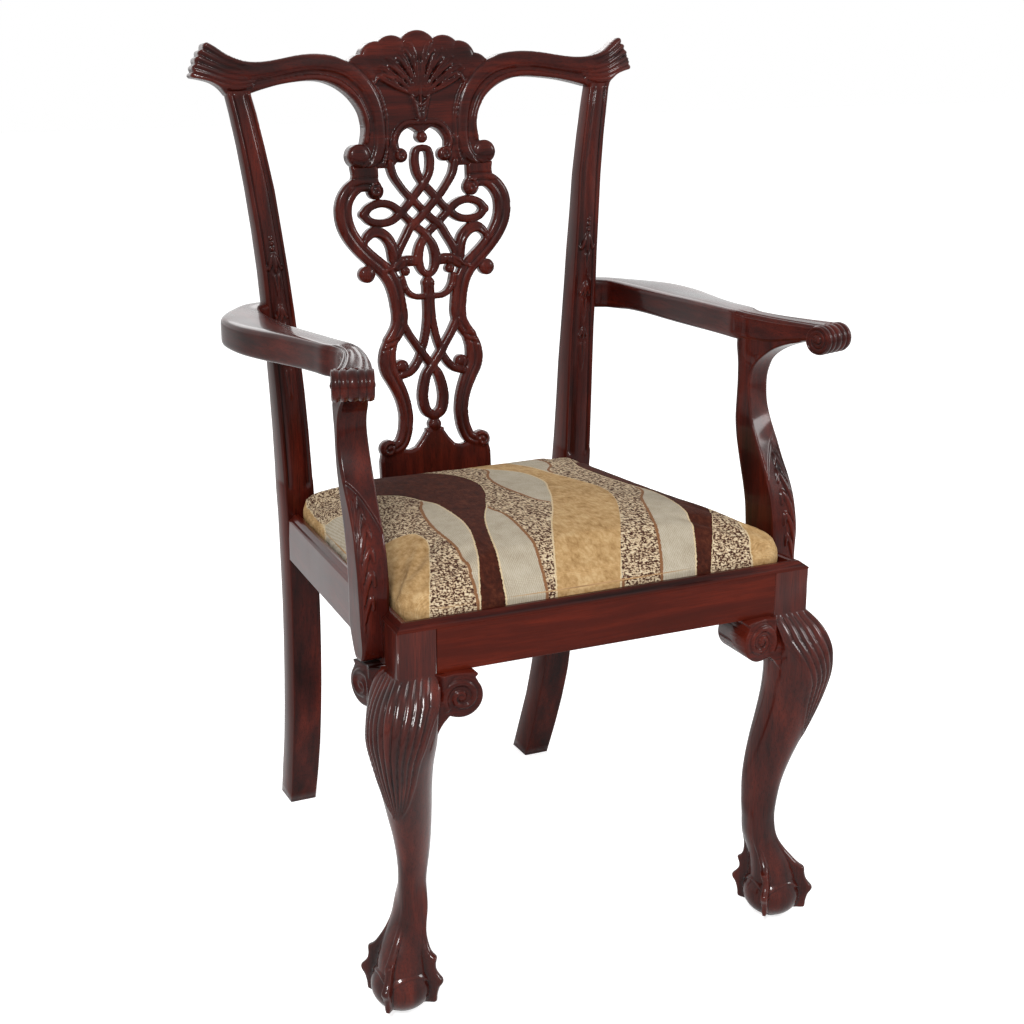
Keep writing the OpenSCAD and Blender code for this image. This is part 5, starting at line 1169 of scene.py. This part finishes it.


# %% [markdown]
# The seat cover is a woven cloth with broad bands that wind from front to back: gold and dark brown chenille,
# a speckled tweed, and leaf shapes in a silvery rib. Each border is one curve that gives x for
# every y. The bands are then painted from left to right, each over the last, so two borders that run together
# simply leave no band between them.
# %% Banded seat cloth
Y_LOW, Y_SPAN, X_LOW, X_SPAN = -70.0, 560.0, -270.0, 540.0
D1L = [(-182, -59), (-165, -19), (-147, 27), (-129, 78), (-110, 157), (-107, 230), (-117, 267), (-128, 301),
       (-146, 325), (-160, 350), (-163, 385), (-156, 430), (-150, 470)]
D1R = [(-139, -58), (-128, -26), (-119, 26), (-104, 91), (-82, 157), (-60, 201), (-35, 261), (-26, 310), (-30, 351),
       (-44, 389), (-57, 412), (-79, 435), (-101, 448), (-150, 475)]
B1 = [(-236, -50), (-210, 12), (-182, 79), (-166, 132), (-167, 157), (-180, 176), (-208, 188), (-232, 205),
      (-222, 255), (-215, 321), (-204, 362), (-198, 430), (-192, 470)]
T2L = [(-90, -59), (-59, 22), (-29, 94), (9, 169), (34, 229), (49, 283), (42, 333), (16, 375), (2, 404), (-10, 449)]
T2R = [(-31, -65), (-7, -25), (25, 31), (63, 104), (88, 161), (99, 214), (89, 264), (76, 310), (70, 353), (61, 391),
       (59, 418), (68, 458)]
D2L = [(67, -60), (89, -23), (127, 48), (147, 120), (153, 182), (141, 225), (132, 276), (130, 326), (140, 372),
       (162, 424)]
D2R = [(81, -55), (107, -19), (134, 19), (159, 59), (182, 104), (192, 142), (195, 193), (198, 254), (187, 291),
       (171, 332), (170, 402), (166, 422)]


def joined(edge, other, low=None, high=None):
    """A border that runs with the other one below low and above high."""
    before = [p for p in other if low is not None and p[1] < low - 4]
    after = [p for p in other if high is not None and p[1] > high + 4]
    return before + edge + after


# A border, the band on its right, the line along it, and the border that it may run together with.
BORDERS = [
    (B1, "silver", "cream", None),
    (joined([(-226, 240), (-206, 262), (-189, 300), (-188, 335), (-203, 366)], B1, 240, 368), "tweed", "cream", B1),
    (joined([(-155, 8), (-150, 75), (-148, 123), (-143, 172), (-129, 233), (-118, 263)], D1L, 2, 265), "silver",
     "ribbon", D1L),
    (D1L, "dark", "cream", None),
    (D1R, "silver", "cream", None),
    (joined([(-111, -55), (-79, -4), (-67, 49), (-62, 96), (-57, 159), (-62, 185)], D1R, None, 190), "tweed",
     "ribbon", D1R),
    (joined([(11, 175), (2, 194), (-5, 233), (-9, 279), (-3, 322), (14, 368)], T2L, 172, 372), "silver", "ribbon",
     T2L),
    (T2L, "tan", "cream", None),
    (T2R, "silver", "cream", None),
    ([(-1, -57), (7, -38), (12, -11), (24, 27), (63, 105), (88, 162), (99, 214), (89, 264), (79, 314), (99, 356),
      (105, 396), (100, 434), (73, 459)], "tweed", "ribbon", T2R),
    (joined([(34, -56), (56, -8), (76, 33), (95, 89), (116, 148), (143, 207)], D2L, None, 215), "silver", "ribbon",
     D2L),
    (D2L, "dark", "cream", None),
    (D2R, "silver", "cream", None),
    (joined([(193, 288), (198, 311), (190, 366), (174, 405)], D2R, 270, 410), "tweed", "cream", D2R),
    ([(152, -46), (174, -13), (190, 32), (199, 96), (202, 159), (206, 226), (202, 285), (205, 320), (240, 350),
      (262, 400)], "tan", "cream", None),
]
LINE_WIDE = {"cream": 1.9, "ribbon": 3.6}
PAINT = {  # stops of a colour ramp, or one colour for a line
    "tan": [(0.34, (0.34, 0.19, 0.07)), (0.5, (0.53, 0.33, 0.145)), (0.66, (0.68, 0.47, 0.24))],
    "dark": [(0.34, (0.030, 0.0065, 0.0035)), (0.52, (0.062, 0.0135, 0.0065)), (0.7, (0.115, 0.030, 0.014))],
    "tweed": [(0.455, (0.060, 0.024, 0.016)), (0.49, (0.21, 0.115, 0.075)), (0.515, (0.60, 0.44, 0.27)),
              (0.60, (0.78, 0.66, 0.46))],
    "silver": [(0.2, (0.36, 0.295, 0.205)), (0.5, (0.53, 0.46, 0.35)), (0.85, (0.66, 0.60, 0.49))],
    "cream": (0.70, 0.55, 0.34, 1), "ribbon": (0.27, 0.125, 0.058, 1)}


def border_curve(tree, y, rows):
    """A border's x in millimetres, read from a curve at y."""
    n = node(tree, "ShaderNodeFloatCurve", None, Value=y)
    points = n.mapping.curves[0].points
    for k, (px, py) in enumerate(sorted(rows, key=lambda p: p[1])):
        at = ((py - Y_LOW) / Y_SPAN, (px - X_LOW) / X_SPAN)
        if k < 2:
            points[k].location = at
        else:
            points.new(*at)
    for p in points:
        p.handle_type = "AUTO_CLAMPED"
    n.mapping.update()
    return math_node(tree, "MULTIPLY_ADD", n.outputs[0], X_SPAN, X_LOW)


def cloth():
    m, t = material_tree("banded_seat_cloth")
    place = object_place(t)
    xyz = node(t, "ShaderNodeSeparateXYZ", None, Vector=place).outputs
    # The yarns wander a little, so no border is ruler straight.
    shake = noise(t, place, 420.0, 1.0)
    x = math_node(t, "MULTIPLY_ADD", xyz[0], 1000.0, math_node(t, "MULTIPLY_ADD", shake, 2.2, -1.1))
    y = spread(t, xyz[1], (Y_LOW + FRONT) / 1000, (Y_LOW + Y_SPAN + FRONT) / 1000)

    def yarn(scale, detail, stretch=(1, 1, 1)):
        return noise(t, stretched(t, place, stretch), scale, detail, Roughness=0.6)

    def gap(a, b):
        return math_node(t, "ABSOLUTE", math_node(t, "SUBTRACT", a, b))

    weft, warp = (threads(t, place, axis, scale, Distortion=1.4, Detail=1.0, Detail_Scale=30.0)
                  for axis, scale in (("X", 380.0), ("Y", 260.0)))
    chenille, mottle = yarn(240.0, 3.0, (1, 0.45, 1)), yarn(55.0, 3.0)
    fleck = blend(t, yarn(620.0, 2.0, (0.42, 1, 1)), 0.55, yarn(420.0, 2.0, (1, 0.36, 1)), 0.45)
    ribs = math_node(t, "MULTIPLY_ADD", mottle, 0.5, 0.05)
    tone = {"tan": blend(t, mottle, 0.5, chenille, 0.5), "dark": blend(t, mottle, 0.4, chenille, 0.6), "tweed": fleck,
            "silver": math_node(t, "MULTIPLY_ADD", math_node(t, "PINGPONG", x, 1.1), 0.3, ribs)}
    paint = {name: ramp(t, tone[name], look) if name in tone else look for name, look in PAINT.items()}
    colour, pile = paint["tan"], chenille
    made = {}
    for rows, right, line, partner in BORDERS:
        at = made[id(rows)] = border_curve(t, y, rows)
        past = math_node(t, "GREATER_THAN", x, at)
        colour = mix_colour(t, past, colour, paint[right])
        pile = node(t, "ShaderNodeMix", {"data_type": "FLOAT"}, i0=past, i2=pile,
                    i3=fleck if right == "tweed" else chenille).outputs[0]
        near = math_node(t, "LESS_THAN", gap(x, at), LINE_WIDE[line] / 2)
        if partner is not None:
            other = made[id(partner)] if id(partner) in made else border_curve(t, y, partner)
            near = math_node(t, "MULTIPLY", near, math_node(t, "GREATER_THAN", gap(at, other), 2.5))
        colour = mix_colour(t, near, colour, paint[line])
    weave = math_node(t, "MULTIPLY", weft, warp)
    colour = mix_colour(t, 1.0, colour, spread(t, weave, 0.0, 1.0, 0.78, 1.08), "MULTIPLY")
    surface(t, colour, 0.82, blend(t, pile, 1.6, weave, 0.6), 0.55, 0.0007, Specular_IOR_Level=0.12)
    return m


seat_cloth = cloth()
print("seat cloth with", len(BORDERS), "borders")


# %% [markdown]
# The drop-in seat has a beech frame, webbing and a firm crowned stuffing under the cloth. Its cushion starts
# as a closed dome a little lower than the real one. Cloth with air pressure inside then swells it, with the
# lower edge pinned where the cloth is tacked to the frame, and the sides draw in between the corners.
# %% Crowned cushion
SEAT_Z, PLANE = 452.05, math.atan(FALL)
S_FRONT, S_REAR, RIM = 15.8, 468.3, 15.8 * 1.00324
SEAT_MIDDLE = np.array([0, (S_FRONT + S_REAR) / 2])
RIM_POINTS, CURVE_POINTS = 49, 9  # on each side of the rim, of which the second lie round its corner
DOME = [[1, 0, 0, 0], [1, 0.55, 0, 0.6], [0.993, 0.95, 0.02, 1], [0.978, 1, 0.12, 1], [0.95, 1, 0.24, 1],
        [0.9, 1, 0.41, 1], [0.83, 1, 0.57, 1], [0.74, 1, 0.71, 1], [0.64, 1, 0.82, 1], [0.52, 1, 0.9, 1],
        [0.4, 1, 0.955, 1], [0.26, 1, 0.985, 1], [0.12, 1, 1, 1]]
EDGE_H, CROWN, DRAW, CORNER_FRONT, CORNER_REAR = 33.0, 27.0, 5.0, 34.0, 12.0
TACKED = 13.0  # the cloth is held below this height


def seat_rim(pull):
    """The outline of the cushion, seen from above, with its sides drawn in by pull."""
    wide = [252 - 0.0805 * s - RIM for s in (S_FRONT, S_REAR)]
    corners = np.array([(-wide[0], S_FRONT), (wide[0], S_FRONT), (wide[1], S_REAR), (-wide[1], S_REAR)])
    cut = [CORNER_FRONT, CORNER_FRONT, CORNER_REAR, CORNER_REAR]
    rim = []

    def toward(p, q, far):
        return p + (q - p) / np.linalg.norm(q - p) * far

    for i, c in enumerate(corners):
        p, n = corners[i - 1], corners[(i + 1) % 4]
        a, b, e = toward(c, p, cut[i]), toward(c, n, cut[i]), toward(n, c, cut[(i + 1) % 4])
        rim += [(1 - t) ** 2 * a + 2 * t * (1 - t) * c + t * t * b for t in np.linspace(0, 1, CURVE_POINTS)]
        for t in np.linspace(0, 1, RIM_POINTS - CURVE_POINTS + 2)[1:-1]:
            rim.append(toward(b + (e - b) * t, SEAT_MIDDLE, pull * math.sin(math.pi * t)))
    return np.array(rim)


def on_seat(p):
    """From the seat's own x, s and height to the millimetre frame of the rails."""
    x, s, h = np.asarray(p, float).T
    sin, cos = math.sin(PLANE), math.cos(PLANE)
    return np.column_stack([x, s * cos + h * sin, SEAT_Z - s * sin + h * cos])


def dome_mesh():
    count = 4 * RIM_POINTS
    rings = [np.column_stack([seat_rim(0), np.full(count, h)]) for h in (0.3, 10.0)]
    for share, edge, crown, pull in DOME:
        v = seat_rim(DRAW * pull) - SEAT_MIDDLE
        oval = v / np.hypot(v[:, 0] / 217, v[:, 1] / 226)[:, None]
        q = SEAT_MIDDLE + (share * v + (1 - share) * oval) * share
        rings.append(np.column_stack([q, np.full(count, 10 + edge * (EDGE_H - 10) + crown * CROWN)]))
    return np.vstack(rings), tube_faces(len(rings), count)


def even_net(points, faces):
    """The dome with its faces made even, which cloth needs."""
    start = put("cushion_start", new_mesh("cushion_start", on_seat(points), faces))
    remesh = start.modifiers.new("even_net", "REMESH")
    remesh.mode, remesh.voxel_size, remesh.use_smooth_shade = "VOXEL", 0.005, True
    net = baked(start)
    bpy.data.objects.remove(start)
    return net


def seat_height(co):
    """Height over the rails' plane, in millimetres, for points in metres."""
    y, z = co[:, 1] * 1000 - FRONT, co[:, 2] * 1000 - SEAT_Z
    return y * math.sin(PLANE) + z * math.cos(PLANE)


def blow(net, pressure, cap):
    """Swells the net as cloth under pressure, moves no point further than cap, and keeps the tacked edge."""
    obj = put("cushion_cloth", net)
    scene = bpy.context.scene
    co, new = np.zeros((2, len(net.vertices) * 3))
    net.vertices.foreach_get("co", co)
    co = co.reshape(-1, 3)
    h = seat_height(co)
    held = obj.vertex_groups.new(name="tacked_edge")
    for i in np.flatnonzero(h < TACKED):
        held.add([int(i)], 1.0, "REPLACE")
    c = obj.modifiers.new("cloth", "CLOTH")
    s = c.settings
    s.quality, s.mass, s.tension_stiffness, s.compression_stiffness = 6, 0.3, 30, 30
    s.shear_stiffness, s.bending_stiffness = 20, 4.0
    s.use_pressure, s.uniform_pressure_force = True, pressure
    s.vertex_group_mass = "tacked_edge"
    s.effector_weights.gravity = 0
    c.collision_settings.use_collision = False
    for f in range(1, 21):
        scene.frame_set(f)
    done = obj.evaluated_get(bpy.context.evaluated_depsgraph_get())
    done.data.vertices.foreach_get("co", new)
    move = new.reshape(-1, 3) - co
    far = np.linalg.norm(move, axis=1)
    move *= (np.minimum(1, cap / np.maximum(far, 1e-9)) * ease((h - TACKED) / 12.0))[:, None]
    net.vertices.foreach_set("co", (co + move).ravel())
    scene.frame_set(1)
    bpy.data.objects.remove(obj)
    print("cushion swelled by up to", round(float(far.max()) * 1000, 1), "mm, kept to", cap * 1000)


net = even_net(*dome_mesh())
blow(net, 4.0, 0.008)
cushion = seat("seat_cushion", net, seat_cloth, "drop_in_seat", ["seat_cover", "seat_pad"])
finer = cushion.modifiers.new("finer", "SUBSURF")
finer.levels = finer.render_levels = 1
smooth_net = baked(cushion)
cushion.modifiers.clear()
cushion.data = smooth_net
cushion.data.name = "seat_cushion"
print("cushion", len(cushion.data.polygons), "faces")


# %% [markdown]
# Under the cushion are the plain parts: a beech frame, jute webbing, black lining, steel tacks and screws.
# They are seen only from below or when the seat is lifted out, but they get real materials as well.
# %% Plain materials
def plain(name, colour, rough, metallic, scale, depth, tone, wave=None):
    """A fine fleck of two tones. wave is the scale of its threads, where it is woven."""
    m, t = material_tree(name)
    place = object_place(t)
    fleck = noise(t, place, scale, 3.0)
    if wave:
        weave = math_node(t, "MULTIPLY", *(threads(t, place, axis, wave, Distortion=1.0) for axis in "XY"))
        fleck = blend(t, fleck, 0.5, weave, 0.5)
    low, high = [tuple(c * k for c in colour) for k in (1 - tone, 1 + tone)]
    surface(t, ramp(t, fleck, [(0.3, low), (0.7, high)]), rough, fleck, depth, 0.0004, Metallic=metallic)
    return m


steel = plain("bright_steel", (0.50, 0.50, 0.51), 0.32, 1.0, 500.0, 0.1, 0.08)
jute = plain("jute_webbing", (0.36, 0.25, 0.12), 0.9, 0.0, 300.0, 0.8, 0.35, 330.0)
lining = plain("black_lining", (0.012, 0.012, 0.013), 0.9, 0.0, 600.0, 0.5, 0.3, 500.0)
FINISHES = {"beech": beech, "jute": jute, "dust_cloth": lining, "steel": steel, "mahogany": mahogany_up}
for part in frame["record"]["subparts"]:
    name, obj = part["node"], frame["nodes"][part["node"]]
    if obj.hide_render or part["material_slot"] not in FINISHES:
        continue
    while len(obj.material_slots) < 1:
        obj.data.materials.append(None)
    for place in obj.material_slots:
        place.material = FINISHES[part["material_slot"]]
print("plain materials set")


# %% [markdown]
# Tacks and screws are all alike, so each kind is made once and set on its places by Geometry Nodes. The
# places are points of a plain mesh, with an aim stored on each point. One node group serves both: it takes
# the sizes of head, shank and slot as named inputs.
# %% Tacks and screws by Geometry Nodes
SIZES = ("Head radius", "Head height", "Shank radius", "Shank length", "Slot width")


def fastener_group():
    g = bpy.data.node_groups.new("set_fasteners", "GeometryNodeTree")
    for name, way, kind in (("Places", "INPUT", "Geometry"), *((size, "INPUT", "Float") for size in SIZES),
                            ("Finish", "INPUT", "Material"), ("Fasteners", "OUTPUT", "Geometry")):
        g.interface.new_socket(name, in_out=way, socket_type="NodeSocket" + kind)
    into = g.nodes.new("NodeGroupInput").outputs
    head_r, head_h, shank_r, shank_l, slot_w = (into[size] for size in SIZES)

    def xyz(**values):
        return node(g, "ShaderNodeCombineXYZ", None, **values).outputs[0]

    def moved(shape, **how):
        return node(g, "GeometryNodeTransform", None, Geometry=shape.outputs["Mesh"], **how).outputs[0]

    ball = node(g, "GeometryNodeMeshUVSphere", None, Segments=24, Rings=12, Radius=head_r)
    head = moved(ball, Scale=xyz(X=1.0, Y=1.0, Z=math_node(g, "DIVIDE", head_h, head_r)))
    pin = node(g, "GeometryNodeMeshCylinder", None, Vertices=16, Radius=shank_r, Depth=shank_l)
    shank = moved(pin, Translation=xyz(Z=math_node(g, "MULTIPLY", shank_l, -0.5)))
    one = node(g, "GeometryNodeJoinGeometry")
    for part in (shank, head):
        g.links.new(part, one.inputs[0])
    bar = node(g, "GeometryNodeMeshCube", None, Size=xyz(X=0.03, Y=slot_w, Z=head_h))
    cut = node(g, "GeometryNodeMeshBoolean", {"operation": "DIFFERENCE", "solver": "EXACT"}, Mesh_1=one.outputs[0],
               Mesh_2=moved(bar, Translation=xyz(Z=head_h)))
    pick = node(g, "GeometryNodeSwitch", {"input_type": "GEOMETRY"}, Switch=math_node(g, "GREATER_THAN", slot_w, 0.0),
                **{"False": one.outputs[0], "True": cut.outputs["Mesh"]})
    aim = node(g, "GeometryNodeInputNamedAttribute", {"data_type": "FLOAT_VECTOR"}, Name="aim")
    turn = node(g, "FunctionNodeAlignRotationToVector", {"axis": "Z"}, Vector=aim.outputs["Attribute"])
    placed = node(g, "GeometryNodeInstanceOnPoints", None, Points=into["Places"], Instance=pick.outputs[0],
                  Rotation=turn.outputs[0])
    real = node(g, "GeometryNodeRealizeInstances", None, Geometry=placed.outputs[0])
    done = node(g, "GeometryNodeSetMaterial", None, Geometry=real.outputs[0], Material=into["Finish"])
    g.links.new(done.outputs[0], g.nodes.new("NodeGroupOutput").inputs[0])
    return g


def fasteners(name, places, sizes, body, replaced):
    """places: (x, y, z, aim) in millimetres from the rail's face, aim pointing out of the head."""
    mesh = new_mesh(name + "_places", [p[:3] for p in places], [])
    aim = mesh.attributes.new("aim", "FLOAT_VECTOR", "POINT")
    aim.data.foreach_set("vector", [c for p in places for c in p[3]])
    base = put(name + "_places", mesh)
    setter = base.modifiers.new("fasteners", "NODES")
    setter.node_group = fasten
    ids = {s.name: s.identifier for s in fasten.interface.items_tree if s.in_out == "INPUT"}
    for key, value in (*zip(SIZES, sizes), ("Finish", steel)):
        setter[ids[key]] = value
    made = baked(base)
    bpy.data.objects.remove(base)
    made.name = name
    seat(name, made, steel, body, [replaced])


def tack_half(s):
    """Half the width between the tacks of the two sides."""
    return 185.494 - 0.0805085 * (s - 61.5)


def screws_at(rows):
    """Both sides' screws. A row is x, y, z of a rail or block face, the aim's turn from +X, and its depth."""
    points = []
    for x, y, z, turn, deep in rows:
        for side in (-1, 1):
            aim = (side * math.cos(turn), math.sin(turn), 0.0)
            points.append((side * x + aim[0] * deep, y + aim[1] * deep, z, aim))
    return points


fasten = fastener_group()
tacks = [(x, s) for s in (61.5, 422.643) for x in np.linspace(-tack_half(s), tack_half(s), 6)]
tacks += [(side * tack_half(s), s) for s in np.linspace(116.0, 368.143, 5) for side in (-1, 1)]
down = (0.0, -math.sin(PLANE), -math.cos(PLANE))
fasteners("lining_tacks", [(*p, down) for p in on_seat([(x, s, -0.8) for x, s in tacks])],
          (0.004, 0.0012, 0.001, 0.0078, 0.0), "drop_in_seat", "seat_tacks")
print(len(tacks), "tacks")
INWARD = math.pi + math.atan(0.0805085)
fasteners("block_screws", screws_at([(181.5, 37, 414, math.pi / 2, 0), (150, 464, 402, -math.pi / 2, 0),
                                     (219.24, 70.5, 414, INWARD, 10), (189.0, 446, 402, INWARD, 10)]),
          (0.0045, 0.003, 0.00225, 0.024, 0.0011), "frame", "corner_block_screws")
fasteners("support_screws", screws_at([(246.69, 66, 436.48, INWARD, 20), (244.59, 92, 435.49, INWARD, 20)]),
          (0.0045, 0.003, 0.00225, 0.032, 0.0011), "frame", "arm_support_screws")


# %% [markdown]
# The photograph is a studio picture on white. The floor is a plain white plane that shows itself to the
# camera as pure white, and still takes a faint shadow. The world is bright white to the camera and in
# reflections, because the polish mirrors a white room, and half as bright as a light, so the carving keeps its
# shadows.
# %% Floor, light and camera
def white_floor():
    m, t = material_tree("white_floor")
    matt = node(t, "ShaderNodeBsdfPrincipled", None, Base_Color=(0.86, 0.86, 0.86, 1), Roughness=0.9).outputs[0]
    glow = node(t, "ShaderNodeEmission", None, Color=(1, 1, 1, 1), Strength=0.74).outputs[0]
    lit = node(t, "ShaderNodeAddShader", None, i0=matt, i1=glow).outputs[0]
    seen = node(t, "ShaderNodeLightPath").outputs["Is Camera Ray"]
    pick = node(t, "ShaderNodeMixShader", None, i0=seen, i1=matt, i2=lit)
    node(t, "ShaderNodeOutputMaterial", None, Surface=pick.outputs[0])
    return m


def white_room():
    world = bpy.data.worlds.new("white_room")
    world.use_nodes = True
    t = world.node_tree
    t.nodes.clear()
    ray = node(t, "ShaderNodeLightPath").outputs
    seen = math_node(t, "MAXIMUM", ray["Is Camera Ray"], ray["Is Glossy Ray"])
    level = spread(t, math_node(t, "MAXIMUM", seen, ray["Is Transmission Ray"]), 0.0, 1.0, 0.5, 1.0)
    air = node(t, "ShaderNodeBackground", None, Color=(1, 1, 1, 1), Strength=level)
    node(t, "ShaderNodeOutputWorld", None, Surface=air.outputs[0])
    return world


def aimed(obj, place, direction):
    obj.location = place
    obj.rotation_euler = Vector(direction).to_track_quat("-Z", "Y").to_euler()


def lamp(name, place, target, size, power):
    data = bpy.data.lights.new(name, "AREA")
    data.shape, data.size, data.energy = "DISK", size, power
    aimed(put(name, data), place, Vector(target) - Vector(place))


WIDE = 12.0  # half the floor's width, in metres
floor_mesh = bpy.data.meshes.new("floor")
floor_mesh.from_pydata([(-WIDE, -WIDE, 0), (WIDE, -WIDE, 0), (WIDE, WIDE, 0), (-WIDE, WIDE, 0)], [], [(0, 1, 2, 3)])
floor_mesh.materials.append(white_floor())
floor = put("floor", floor_mesh)
scene = bpy.context.scene
scene.world = white_room()
lamp("key_lamp", (-1.5, -2.4, 2.5), (0, 0, 0.5), 0.7, 75)
lamp("fill_lamp", (2.6, -1.6, 1.8), (0, 0, 0.5), 0.8, 30)
lamp("back_lamp", (0.6, 2.4, 2.2), (0, 0, 0.7), 2.2, 16)

# The camera was solved from the photograph: focal length and middle in its pixels, place in metres, and angles.
PHOTO, FOCAL, MIDDLE = 1024, 1711.45, (510.27, 503.81)
yaw, pitch, roll = math.radians(25.161), math.radians(16.769), math.radians(0.134)
camera_data = bpy.data.cameras.new("camera")
camera_data.sensor_width, camera_data.lens = 36.0, FOCAL / PHOTO * 36.0
camera_data.shift_x, camera_data.shift_y = (PHOTO / 2 - MIDDLE[0]) / PHOTO, (MIDDLE[1] - PHOTO / 2) / PHOTO
camera = put("camera", camera_data)
aimed(camera, (-0.84172, -1.52726 + FRONT / 1000, 1.08477),
      (math.sin(yaw) * math.cos(pitch), math.cos(yaw) * math.cos(pitch), -math.sin(pitch)))
camera.rotation_euler.rotate_axis("Z", roll)
scene.camera = camera
scene.view_settings.view_transform = "Standard"
print("camera at", [round(v, 4) for v in camera.location])
